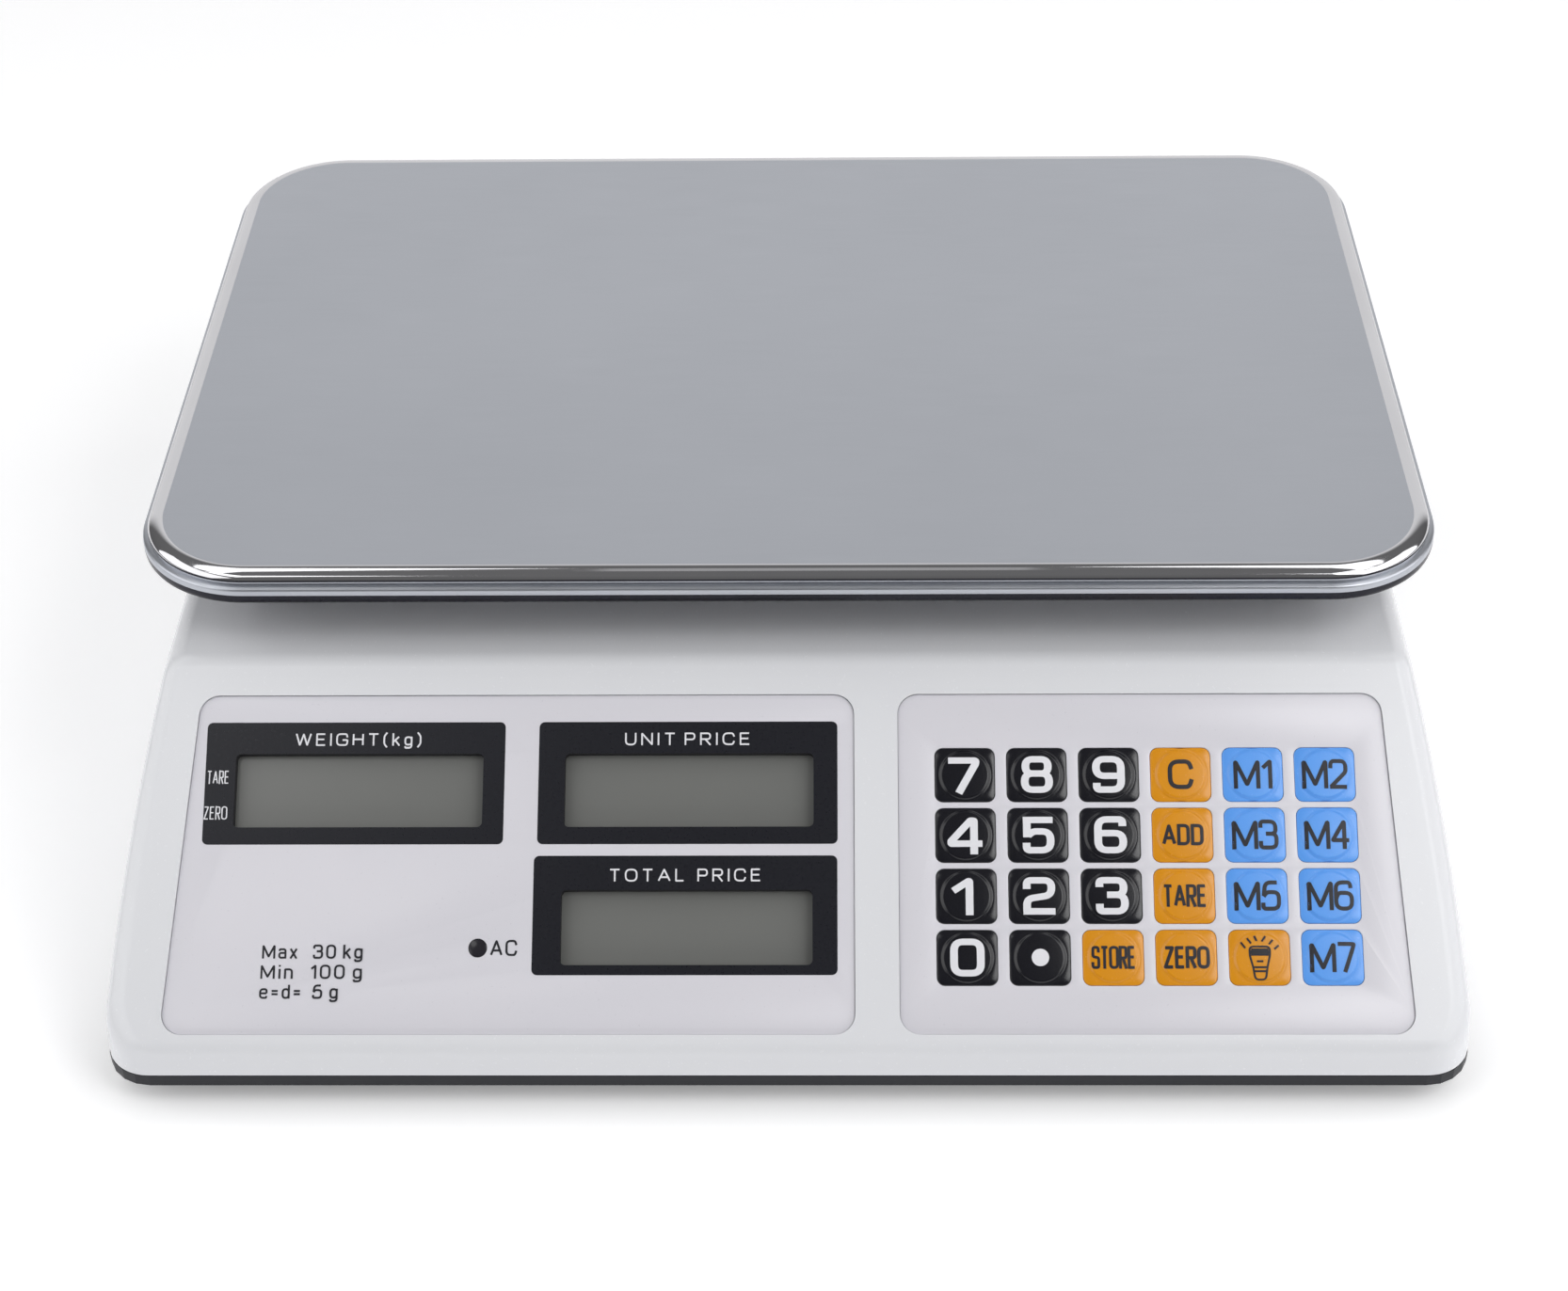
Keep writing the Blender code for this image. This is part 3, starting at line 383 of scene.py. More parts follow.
def sheetMesh(name, outline, low, high, holes=(), edge=0.0):
    # a flat sheet between two heights, with its edges rounded over
    curve = bpy.data.curves.new(name, "CURVE")
    curve.dimensions = "2D"
    curve.fill_mode = "BOTH"
    curve.extrude = (high - low) / 2 - edge
    curve.bevel_depth = edge
    curve.bevel_resolution = 2
    curve.offset = -edge
    for loop in (outline, *holes):
        spline = curve.splines.new("POLY")
        spline.points.add(len(loop) - 1)
        for point, spot in zip(spline.points, loop):
            point.co = (spot[0], spot[1], 0, 1)
        spline.use_cyclic_u = True
    mesh = meshOfCurve(curve)
    mesh.transform(Matrix.Translation((0, 0, (low + high) / 2)))
    return mesh


def roundedPath(points, radius, closed):
    # a centre line with its corners turned into arcs
    path = []
    count = len(points)
    for i, point in enumerate(points):
        here = Vector(point)
        if not closed and i in (0, count - 1):
            path.append(here)
            continue
        before = Vector(points[i - 1]) - here
        after = Vector(points[(i + 1) % count]) - here
        half = before.angle(after) / 2
        reach = min(radius / math.tan(half), 0.49 * before.length, 0.49 * after.length)
        first, last = here + before.normalized() * reach, here + after.normalized() * reach
        for step in range(7):
            t = step / 6
            path.append(first * (1 - t) ** 2 + here * 2 * t * (1 - t) + last * t * t)
    return path


def strokeMesh(strokes, width, flatter=1.0, thick=0.03 * mm):
    # flat strokes along centre lines, each (points, closed); level runs are drawn flatter than upright ones.
    # each point lies a little higher than the one before, so that strokes cross without sharing a face
    sketch = bmesh.new()
    lift = 0.0
    for path, closed in strokes:
        count = len(path)
        lift += 0.01 * mm
        sides = []
        for i in range(count):
            before = path[i - 1] if closed or i > 0 else path[i]
            after = path[(i + 1) % count] if closed or i < count - 1 else path[i]
            run = (after - before).normalized()
            across = Vector((-run.y, run.x * flatter)) * width / 2
            sides.append([path[i] + across, path[i] - across])
        rows = []
        for i, (a, b) in enumerate(sides):
            top = thick + lift + 0.01 * mm * i / count
            rows.append([sketch.verts.new((p.x, p.y, z)) for p, z in ((a, 0), (a, top), (b, top), (b, 0))])
        for i in range(count if closed else count - 1):
            here, ahead = rows[i], rows[(i + 1) % count]
            for k in range(4):
                j = (k + 1) % 4
                sketch.faces.new((here[k], ahead[k], ahead[j], here[j]))
        if not closed:
            sketch.faces.new(rows[0])
            sketch.faces.new(reversed(rows[-1]))
    bmesh.ops.recalc_face_normals(sketch, faces=sketch.faces)
    mesh = bpy.data.meshes.new("strokes")
    sketch.to_mesh(mesh)
    sketch.free()
    return mesh


# plain letters as centre lines: width, corner radius and strokes, in capital heights; ~ closes a stroke
glyphs = {
    "A": (0.9, 0.02, ["0,0 .45,1 .9,0", ".16,.32 .74,.32"]),
    "C": (0.84, 0.5, [".84,.7 .74,1 0,1 0,0 .74,0 .84,.3"]),
    "D": (0.78, 0.36, ["0,1 .78,1 .78,0 0,0", "0,-.08 0,1.08"]),
    "E": (0.66, 0.02, [".66,1 0,1 0,0 .68,0", "0,.52 .6,.52"]),
    "G": (0.86, 0.34, [".84,.7 .8,1 0,1 0,0 .84,0 .86,.46", ".86,.46 .46,.46"]),
    "H": (0.78, 0.02, ["0,0 0,1", ".78,0 .78,1", "0,.52 .78,.52"]),
    "I": (0.0, 0.02, ["0,-.06 0,1.06"]),
    "L": (0.6, 0.02, ["0,1.06 0,0 .6,0"]),
    "M": (0.92, 0.02, ["0,-.06 0,1 .46,.1 .92,1 .92,-.06"]),
    "N": (0.78, 0.02, ["0,-.06 0,1 .78,0 .78,1.06"]),
    "O": (0.88, 0.42, ["~0,0 .88,0 .88,1 0,1"]),
    "P": (0.7, 0.26, ["0,-.06 0,1.07", "0,1 .7,1 .7,.45 0,.45"]),
    "R": (0.74, 0.26, ["0,-.06 0,1.07", "0,1 .72,1 .72,.47 0,.47", ".34,.47 .74,-.06"]),
    "S": (0.74, 0.27, [".72,.74 .7,1 .03,1 .03,.54 .74,.48 .74,0 0,0 0,.27"]),
    "T": (0.76, 0.02, [".38,-.06 .38,1", "0,1 .76,1"]),
    "U": (0.76, 0.36, ["0,1.06 0,0 .76,0 .76,1.06"]),
    "W": (1.2, 0.02, ["0,1.04 .3,0 .6,1 .9,0 1.2,1.04"]),
    "Z": (0.72, 0.02, [".02,1 .7,1 0,0 .72,0"]),
    "(": (0.24, 0.5, [".24,1.12 0,.8 0,.1 .24,-.22"]),
    ")": (0.24, 0.5, ["0,1.12 .24,.8 .24,.1 0,-.22"]),
    "a": (0.5, 0.18, [".02,.55 .02,.7 .5,.7 .5,-.06", ".5,.4 0,.4 0,0 .5,.02"]),
    "d": (0.5, 0.26, [".5,-.06 .5,1.06", "~0,0 .5,0 .5,.7 0,.7"]),
    "e": (0.52, 0.26, ["0,.37 .52,.37", ".52,.37 .52,.7 0,.7 0,0 .5,0 .52,.16"]),
    "g": (0.52, 0.26, ["~0,.02 .52,.02 .52,.7 0,.7", ".52,.74 .52,-.27 .02,-.27 0,-.12"]),
    "i": (0.0, 0.02, ["0,-.06 0,.74", "0,.92 0,1.06"]),
    "k": (0.5, 0.02, ["0,-.06 0,1.06", ".48,.74 0,.26", ".18,.42 .52,-.06"]),
    "n": (0.5, 0.24, ["0,-.06 0,.74", "0,.7 .5,.7 .5,-.06"]),
    "x": (0.5, 0.02, ["0,-.06 .5,.74", "0,.74 .5,-.06"]),
    "=": (0.5, 0.02, ["0,.3 .5,.3", "0,.56 .5,.56"]),
    "0": (0.64, 0.32, ["~0,0 .64,0 .64,1 0,1"]),
    "1": (0.3, 0.02, ["0,.74 .3,1 .3,-.06"]),
    "2": (0.66, 0.28, ["0,.72 .02,1 .64,1 .64,.58 0,0", "-.04,0 .68,0"]),
    "3": (0.66, 0.25, ["0,.76 0,1 .63,1 .63,.53 .22,.53", ".22,.53 .66,.53 .66,0 0,0 0,.25"]),
    "4": (0.7, 0.02, [".5,-.06 .5,1 0,.28 .7,.28"]),
    "5": (0.66, 0.27, [".6,1 .1,1 .03,.48", ".02,.46 .16,.63 .66,.63 .66,0 0,0 0,.23"]),
    "6": (0.66, 0.3, [".62,.78 .6,1 0,1 0,0 .66,0 .66,.6 .1,.6 0,.36"]),
    "7": (0.66, 0.02, ["-.02,1 .66,1 .24,-.06"]),
}


def letterMesh(text, width, cap, stroke, gap=0.42):
    # text with a given capital height, overall width and stroke, centred, its baseline half a capital below
    strokes = []
    along = 0.0
    for letter in text:
        if letter == " ":
            along += 0.34
            continue
        advance, radius, lines = glyphs[letter]
        for line in lines:
            closed = line.startswith("~")
            points = [tuple(float(v) for v in pair.split(",")) for pair in line.strip("~").split()]
            strokes.append(([(x + along, y) for x, y in points], radius, closed))
        along += advance + gap
    total = along - gap
    scaleX, scaleY = (width - stroke) / total, cap - stroke
    placed = []
    for points, radius, closed in strokes:
        spots = [((x - total / 2) * scaleX, (y - 0.5) * scaleY) for x, y in points]
        placed.append((roundedPath(spots, radius * min(scaleX, scaleY), closed), closed))
    return strokeMesh(placed, stroke)


def lathedMesh(name, profile, sides, centre=(0, 0)):
    # a closed turned solid from a profile of (radius, height) points, top to bottom
    sketch = bmesh.new()
    rings = []
    for radius, z in profile:
        if radius == 0:
            rings.append([sketch.verts.new((*centre, z))])
            continue
        turn = [2 * math.pi * i / sides for i in range(sides)]
        rings.append(
            [sketch.verts.new((centre[0] + radius * math.cos(a), centre[1] + radius * math.sin(a), z)) for a in turn]
        )
    for upper, lower in zip(rings, rings[1:]):
        for i in range(sides):
            j = (i + 1) % sides
            corners = [upper[i % len(upper)], lower[i % len(lower)], lower[j % len(lower)], upper[j % len(upper)]]
            kept = [v for k, v in enumerate(corners) if v not in corners[:k]]
            sketch.faces.new(kept)
    bmesh.ops.recalc_face_normals(sketch, faces=sketch.faces)
    mesh = bpy.data.meshes.new(name)
    sketch.to_mesh(mesh)
    sketch.free()
    return mesh


caseDetail = {
    "profileSteps": 12,
    "sectionSteps": 10,
    "wallSteps": 14,
    "cornerSteps": 12,
    "foldRadii": (6 * mm, 7 * mm, 7 * mm, 14 * mm),  # lip, front of the deck, rear of the deck, rear lip
    "pocket": 1.5 * mm,  # how deep a film or a flange sits
    "hub": (52 * mm, 6 * mm, (47 * mm, 39 * mm)),  # the opening in the deck: side, corner and place
}
# the sloped panel, in its own plane: across from the middle, and up from the front lip
panel = {
    "display": (17.2 * mm, -156.8 * mm, -150.4 * mm),  # inner side, outer side low, outer side high
    "keypad": (28.9 * mm, 157.1 * mm, 151.8 * mm),
    "reach": (4.6 * mm, 91.3 * mm),  # lower and upper edge of both films
    "corner": 5 * mm,
    "led": (-77.6 * mm, 26.2 * mm),
    "keys": (91.4 * mm, 47 * mm),
    "keyArea": (108.7 * mm, 62.8 * mm),
    "windows": {
        "weight": (-109.2 * mm, 66.7 * mm),
        "unit_price": (-24.7 * mm, 66.7 * mm),
        "total_price": (-25.0 * mm, 31.4 * mm),
    },
    "window": (63.6 * mm, 19.1 * mm),
}
rear = {
    "film": (272 * mm, 40 * mm, 5 * mm, (0, 34 * mm)),  # width, height, corner and place
    "windows": {"weight": (-84 * mm, 34 * mm), "unit_price": (0, 34 * mm), "total_price": (84 * mm, 34 * mm)},
}
# the power entry on the right wall: place, flange and hole of each
entry = {
    "switch": ((64 * mm, 0), (23.6 * mm, 16.6 * mm), (20 * mm, 13.2 * mm)),
    "inlet": ((102 * mm, 0), (31.6 * mm, 24.6 * mm), (27.4 * mm, 20.4 * mm)),
}


def overlayOutline(edges, grow=0.0):
    inner, outerLow, outerHigh = edges
    side = 1 if outerLow > 0 else -1
    low, high = panel["reach"][0] - grow, panel["reach"][1] + grow
    corners = [
        (inner - side * grow, low),
        (outerLow + side * grow, low),
        (outerHigh + side * grow, high),
        (inner - side * grow, high),
    ]
    if side < 0:
        corners.reverse()
    return roundedOutline(corners, panel["corner"] + grow)


def rearOutline(grow):
    width, height, corner, place = rear["film"]
    return roundedBox(width + 2 * grow, height + 2 * grow, corner, place)


def profileLine():
    # the case's top edge along its middle, from front to back, with its four folds rounded
    half = case["depth"] / 2
    rise = case["deck"] - case["lip"]
    corners = [
        (-half, case["underside"]),
        (-half, case["lip"]),
        (-half + rise / math.tan(case["panelSlope"]), case["deck"]),
        (half - rise / math.tan(case["rearSlope"]), case["deck"]),
        (half, case["lip"]),
        (half, case["underside"]),
    ]
    line = []
    for i, radius in enumerate(caseDetail["foldRadii"], 1):
        here = Vector(corners[i])
        back = (Vector(corners[i - 1]) - here).normalized()
        ahead = (Vector(corners[i + 1]) - here).normalized()
        bend = back.angle(ahead) / 2
        centre = here + (back + ahead).normalized() * radius / math.sin(bend)
        start = here + back * radius / math.tan(bend) - centre
        sweep = math.pi - 2 * bend
        steps = caseDetail["profileSteps"]
        line += [centre + Matrix.Rotation(-sweep * k / steps, 2) @ start for k in range(steps + 1)]
    return line


def heightAt(line, y):
    # the top edge's height at one distance from the middle
    for a, b in zip(line, line[1:]):
        if a.x <= y <= b.x and b.x > a.x:
            return a.y + (b.y - a.y) * (y - a.x) / (b.x - a.x)
    return line[0].y if y < line[0].x else line[-1].y


def caseSection(y, top):
    # the right half of a cut across the case: up the leaning wall, then round into the top
    toEnd = max(case["depth"] / 2 - abs(y), 0)
    corner = case["corner"]
    inset = corner - math.sqrt(corner**2 - (corner - toEnd) ** 2) if toEnd < corner else 0
    low = case["wallFoot"]
    radius = min(case["fillet"], 0.6 * (top - low))
    wallSteps, filletSteps = caseDetail["wallSteps"], caseDetail["sectionSteps"]
    points = []
    for step in range(wallSteps + 1):
        z = low + (top - radius - low) * step / wallSteps
        points.append((halfWidth(z) - inset, z))
    wallX = points[-1][0]
    for step in range(1, filletSteps + 1):
        angle = math.radians(90 * step / filletSteps)
        points.append((wallX - radius * (1 - math.cos(angle)), top - radius * (1 - math.sin(angle))))
    return points


def caseStations(line):
    # where the case is cut across: at the folds, round the upright corners, and along the slope
    half = case["depth"] / 2
    places = {round(p.x, 6) for p in line}
    for step in range(caseDetail["cornerSteps"] + 1):
        inward = case["corner"] * (1 - math.cos(math.radians(90 * step / caseDetail["cornerSteps"])))
        places |= {round(inward - half, 6), round(half - inward, 6)}
    places |= {round(k * 7 * mm - half, 6) for k in range(3, 12)}
    ordered = sorted(places)
    kept = [ordered[0]]
    for y in ordered[1:-1]:
        if y - kept[-1] > 0.1 * mm and ordered[-1] - y > 0.1 * mm:
            kept.append(y)
    return kept + [ordered[-1]]


def caseMesh():
    line = profileLine()
    sketch = bmesh.new()
    grid = []
    for y in caseStations(line):
        right = caseSection(y, heightAt(line, y))
        row = [(-x, y, z) for x, z in right] + [(x, y, z) for x, z in reversed(right)]
        grid.append([sketch.verts.new(point) for point in row])
    for row, following in zip(grid, grid[1:]):
        for i in range(len(row) - 1):
            sketch.faces.new((row[i], following[i], following[i + 1], row[i + 1]))
    sketch.faces.new(grid[0])
    sketch.faces.new(reversed(grid[-1]))
    bmesh.ops.recalc_face_normals(sketch, faces=sketch.faces)
    mesh = bpy.data.meshes.new("case")
    sketch.to_mesh(mesh)
    sketch.free()
    return mesh


def addCutter(target, mesh, place):
    tool = bpy.data.objects.new("tool", mesh)
    bpy.context.scene.collection.objects.link(tool)
    tool.matrix_world = place
    tool.hide_render = True
    removal = target.modifiers.new("removal", "BOOLEAN")
    removal.operation = "DIFFERENCE"
    removal.object = tool
    return tool


def applyAll(item):
    bpy.context.view_layer.update()
    graph = bpy.context.evaluated_depsgraph_get()
    return bpy.data.meshes.new_from_object(item.evaluated_get(graph))


def makeCase():
    blank = bpy.data.objects.new("caseBlank", caseMesh())
    bpy.context.scene.collection.objects.link(blank)
    shell = blank.modifiers.new("wall", "SOLIDIFY")
    shell.thickness = case["wall"]
    shell.offset = -1
    shell.use_even_offset = True
    depth, above, through = -caseDetail["pocket"], 12 * mm, 25 * mm
    side, corner, spot = caseDetail["hub"]
    wide, high = panel["window"]
    cuts = [  # outline, lowest, highest and the face it is cut into
        (overlayOutline(panel["display"], 0.3 * mm), depth, above, panelFrame),
        (overlayOutline(panel["keypad"], 0.3 * mm), depth, above, panelFrame),
        (rearOutline(0.3 * mm), depth, above, rearFrame),
        (roundedBox(*panel["keyArea"], 1 * mm, panel["keys"], 3), -through, through, panelFrame),
        (roundedBox(side, side, corner, spot), case["deck"] - 8 * mm, case["deck"] + 8 * mm, Matrix.Identity(4)),
    ]
    for spots, place in ((panel["windows"], panelFrame), (rear["windows"], rearFrame)):
        for spot in spots.values():
            cuts.append((roundedBox(wide + 2 * mm, high + 2 * mm, 1 * mm, spot, 3), -through, through, place))
    for spot, flange, hole in entry.values():
        cuts.append((roundedBox(*hole, 0.5 * mm, spot, 2), -through, through, sideFrame))
        cuts.append((roundedBox(*flange, 0.8 * mm, spot, 3), depth, above, sideFrame))
    tools = [addCutter(blank, sheetMesh("cut", *cut[:3]), cut[3]) for cut in cuts]
    drill = [(0, through), (3 * mm, through), (3 * mm, -through), (0, -through)]
    tools.append(addCutter(blank, lathedMesh("drill", drill, 24, panel["led"]), panelFrame))
    mesh = applyAll(blank)
    for gone in (blank, *tools):
        bpy.data.objects.remove(gone)
    housing = addPiece("housing_moulding", mesh, "absWhiteMoulded", caseBody)
    flow = housing.modifiers.new("flow", "WEIGHTED_NORMAL")
    flow.keep_sharp = True
    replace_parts(housing, "upper_housing")
    return housing


makeCase()
print("case made")

pan = {
    "width": 335 * mm,
    "depth": 220 * mm,
    "corner": 29 * mm,
    "centreY": 39 * mm,
    "top": 105 * mm,
    "bead": (4.2 * mm, 2.35 * mm),  # reach inwards and drop
    "rim": [  # below the bead, in mm: inset and fall
        (0.0, 2.6), (0.02, 2.85), (0.15, 3.0), (0.28, 3.12), (0.28, 3.25), (0.1, 3.36), (-0.3, 3.45), (-0.8, 3.55),
        (-1.2, 3.75), (-1.42, 4.05), (-1.5, 4.5), (-1.5, 5.5), (-1.5, 6.7), (-1.42, 7.3), (-1.2, 7.8),
        (-0.85, 8.15), (-0.4, 8.28), (0.1, 8.2), (0.4, 7.9), (0.5, 7.4), (0.4, 6.9),
    ],
    # below buffedTo on the bead and below hemFrom on the skirt, the sheet carries a painted dark reflection
    "buffedTo": 1.8 * mm,  # the wheel reaches this far down the bead
    "hemFrom": 5.5 * mm,
    "inside": [(1.3, 4.4), (1.7, 3.0), (2.8, 1.6)],  # the same for the inner face, up to the sheet's underside
    "flatFrom": 9 * mm,  # inset of the first ring on the flat
    "cornerSteps": 24,
    "sheet": 0.8 * mm,
}


def panProfile():
    # inset from the bead's outer edge and depth below the top: bead, groove, skirt and rolled lip
    reach, drop = pan["bead"]
    points = [(pan["flatFrom"], 0), (reach + 1.2 * mm, 0)]
    for angle in range(0, 91, 6):
        turn = math.radians(angle)
        points.append((reach * (1 - math.sin(turn)), -drop * (1 - math.cos(turn))))
    points += [(inset * mm, -fall * mm) for inset, fall in pan["rim"]]
    return points


def panFinishes(outer):
    # the flat and skirt are satin, the bead is buffed on top; its underside and the hem get a painted dark reflection
    _, drop = pan["bead"]
    found = []
    for (_, above), (_, below) in zip(outer, outer[1:]):
        level = -(above + below) / 2
        paintedDark = pan["buffedTo"] < level < drop or level > pan["hemFrom"]
        found.append(2 if paintedDark else 1 if 0 < level < drop else 0)
    return found


def panMesh():
    sketch = bmesh.new()
    outer = panProfile()
    inner = [(inset * mm, -fall * mm) for inset, fall in pan["inside"]]
    inner += [(4.6 * mm, -pan["sheet"]), (pan["flatFrom"], -pan["sheet"])]
    rings = []
    for inset, z in outer + inner:
        outline = roundedBox(
            pan["width"] - 2 * inset,
            pan["depth"] - 2 * inset,
            pan["corner"] - inset,
            (0, pan["centreY"]),
            pan["cornerSteps"],
        )
        rings.append([sketch.verts.new((p.x, p.y, pan["top"] + z)) for p in outline])
    count = len(rings[0])
    sketch.faces.new(rings[0])
    under = sketch.faces.new(rings[-1])
    finish = panFinishes(outer) + [3] * len(inner)
    under.material_index = 3
    for k, (upper, lower) in enumerate(zip(rings, rings[1:])):
        for i in range(count):
            j = (i + 1) % count
            sketch.faces.new((upper[i], lower[i], lower[j], upper[j])).material_index = finish[k]
    bmesh.ops.recalc_face_normals(sketch, faces=sketch.faces)
    mesh = bpy.data.meshes.new("pan")
    sketch.to_mesh(mesh)
    sketch.free()
    # the third finish paints the dark reflection under the rim
    for finish in ("stainlessSatinRolled", "stainlessBuffedEdge", "stainlessHemDull", "stainlessBrightUnder"):
        mesh.materials.append(finishes[finish])
    return mesh


def makePan():
    sheet = addPiece("pan_sheet", panMesh(), "stainlessSatinRolled", "pan_body", smooth=50)
    flow = sheet.modifiers.new("flow", "WEIGHTED_NORMAL")
    flow.keep_sharp = True
    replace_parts(sheet, "weighing_pan")


makePan()
print("pan made")

film = {
    "bottom": -1.2 * mm,
    "top": -0.7 * mm,
    "edge": 0.12 * mm,
    "ink": 0.04 * mm,
    "grow": 0.2 * mm,  # how far it fills its pocket past its nominal outline
    "around": (1 * mm, 1.8 * mm),  # how much wider its openings are than the windows, and their corner
    "ledHole": 2.4 * mm,
    "lens": [(0, -0.72), (1.9, -0.74), (2.3, -0.85), (2.35, -1.1), (2.35, -1.65), (0, -1.65)],  # turned, in mm
}
keyGrid = {
    "pitch": (18.3 * mm, 15.6 * mm),
    "size": (15.3 * mm, 14.0 * mm),
    "corner": 2.1 * mm,
    "gap": 0.06 * mm,
    "base": -2.0 * mm,
    "face": -0.6 * mm,
    "edge": 0.25 * mm,
}
keyRows = [  # node and legend, from the top left
    [("key_7", "7"), ("key_8", "8"), ("key_9", "9"), ("key_clear", "C"), ("key_m1", "M1"), ("key_m2", "M2")],
    [("key_4", "4"), ("key_5", "5"), ("key_6", "6"), ("key_add", "ADD"), ("key_m3", "M3"), ("key_m4", "M4")],
    [("key_1", "1"), ("key_2", "2"), ("key_3", "3"), ("key_tare", "TARE"), ("key_m5", "M5"), ("key_m6", "M6")],
    [("key_0", "0"), ("key_point", "."), ("key_store", "STORE")]
    + [("key_zero", "ZERO"), ("key_light", "lamp"), ("key_m7", "M7")],
]


def keySpots():
    for row, entries in enumerate(keyRows):
        for column, (name, legend) in enumerate(entries):
            x = panel["keys"][0] + (column - 2.5) * keyGrid["pitch"][0]
            y = panel["keys"][1] - (row - 1.5) * keyGrid["pitch"][1]
            yield name, legend, x, y


def addFilm(name, outline, holes, place, node):
    mesh = sheetMesh(name, outline, film["bottom"], film["top"], holes, film["edge"])
    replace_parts(addPiece(name, mesh, "polyesterFilmPrinted", caseBody, place), node)


def circle(radius, centre, steps=32):
    turn = [2 * math.pi * i / steps for i in range(steps)]
    return [Vector((centre[0] + radius * math.cos(a), centre[1] + radius * math.sin(a))) for a in turn]


def makeFilms():
    (wide, high), (more, corner) = panel["window"], film["around"]
    around = (wide + more, high + more, corner)
    windows = [roundedBox(*around, spot, 5) for spot in panel["windows"].values()]
    windows.append(circle(film["ledHole"], panel["led"]))
    addFilm("display_film", overlayOutline(panel["display"], film["grow"]), windows, panelFrame, "display_overlay")
    gap = 2 * keyGrid["gap"]
    width, height = keyGrid["size"]
    holes = [roundedBox(width + gap, height + gap, keyGrid["corner"], (x, y), 5) for _, _, x, y in keySpots()]
    addFilm("keypad_film", overlayOutline(panel["keypad"], film["grow"]), holes, panelFrame, "keypad_overlay")
    lens = lathedMesh("lens", [(r * mm, z * mm) for r, z in film["lens"]], 32, panel["led"])
    addPiece("mains_lamp_lens", lens, "acrylicSmoked", caseBody, panelFrame)
    windows = [roundedBox(*around, spot, 5) for spot in rear["windows"].values()]
    addFilm("rear_film", rearOutline(film["grow"]), windows, rearFrame, "rear_display_overlay")


makeFilms()

surrounds = {  # black borders: left, right, bottom and top edge about each window's middle
    "weight": (-39.5 * mm, 37.3 * mm, -14.0 * mm, 17.8 * mm),
    "unit_price": (-38.5 * mm, 37.9 * mm, -14.0 * mm, 17.8 * mm),
    "total_price": (-38.9 * mm, 38.1 * mm, -12.1 * mm, 18.3 * mm),
    "rear": (-38.4 * mm, 38.4 * mm, -14.0 * mm, 17.8 * mm),
    "corner": 1.4 * mm,
    "windowCorner": 1.3 * mm,
    "lining": (0.9 * mm, 1.75 * mm, -2.78 * mm),  # how much wider than the window, its corner and its foot
}
titles = {  # words and their width; below, their capital height, stroke, gap and place over the window
    "weight": ("WEIGHT(kg)", 32.4 * mm),
    "unit_price": ("UNIT PRICE", 32 * mm),
    "total_price": ("TOTAL  PRICE", 38.4 * mm),
    "letters": (3.3 * mm, 0.42 * mm, 0.5),
    "place": (-0.5 * mm, 13.3 * mm),
}


def addPrint(name, mesh, ink, place, x, y, z):
    return addPiece(name, mesh, ink, caseBody, place @ Matrix.Translation((x, y, z)), smooth=0)


def makeSurrounds(prefix, spots, place):
    inkTop = film["top"] + film["ink"]
    wide, high = panel["window"]
    window = roundedBox(wide, high, surrounds["windowCorner"], (0, 0), 5)
    more, corner, foot = surrounds["lining"]
    for key, (x, y) in spots.items():
        left, right, low, top = surrounds["rear" if prefix else key]
        middle = ((left + right) / 2, (low + top) / 2)
        outline = roundedBox(right - left, top - low, surrounds["corner"], middle, 5)
        border = sheetMesh("surround", outline, -0.02 * mm, film["ink"], [window])
        addPrint(prefix + "surround_" + key, border, "screenInkBlack", place, x, y, film["top"])
        # a black lining from the film down to the glass
        lining = sheetMesh("lining", roundedBox(wide + more, high + more, corner, (0, 0), 5), foot, 0.0, [window])
        addPrint(prefix + "lining_" + key, lining, "foamBlack", place, x, y, film["top"])
        text, width = titles[key]
        across, up = titles["place"]
        title = letterMesh(text, width, *titles["letters"])
        addPrint(prefix + "title_" + key, title, "screenInkWhite", place, x + across, y + up, inkTop)


makeSurrounds("", panel["windows"], panelFrame)
makeSurrounds("rear_", rear["windows"], rearFrame)
smallPrints = [
    # name, text, width, capital height, stroke, place, ink and height above the film
    ("sign_tare", "TARE", 5.6 * mm, 3.4 * mm, 0.3 * mm, -145.4 * mm, 70.2 * mm, "screenInkWhite", film["ink"]),
    ("sign_zero", "ZERO", 6.0 * mm, 3.4 * mm, 0.3 * mm, -145.6 * mm, 60.9 * mm, "screenInkWhite", film["ink"]),
    ("sign_mains", "AC", 6.9 * mm, 4.1 * mm, 0.56 * mm, -71.0 * mm, 26.2 * mm, "screenInkCharcoal", 0),
    ("sign_limit_high", "Max   30 kg", 25.4 * mm, 3.6 * mm, 0.5 * mm, -119.3 * mm, 25.3 * mm, "screenInkCharcoal", 0),
    ("sign_limit_low", "Min   100 g", 25.6 * mm, 3.6 * mm, 0.5 * mm, -119.4 * mm, 20.2 * mm, "screenInkCharcoal", 0),
    ("sign_step", "e=d=  5 g", 19.8 * mm, 3.6 * mm, 0.5 * mm, -122.4 * mm, 15.2 * mm, "screenInkCharcoal", 0),
]
for name, text, width, cap, stroke, x, y, ink, lift in smallPrints:
    addPrint(name, letterMesh(text, width, cap, stroke), ink, panelFrame, x, y, film["top"] + lift)
print("films printed")

dome = {
    "radius": 6.7 * mm,
    "shoulder": 0.9 * mm,
    "rise": 0.42 * mm,
    "crown": 0.16 * mm,
    "turns": 72,  # points round a cap
    "patch": 0.53 * mm,  # the size of the patches that a legend is cut into to lie over it
    "lift": 0.03 * mm,  # and its height above the cap
}


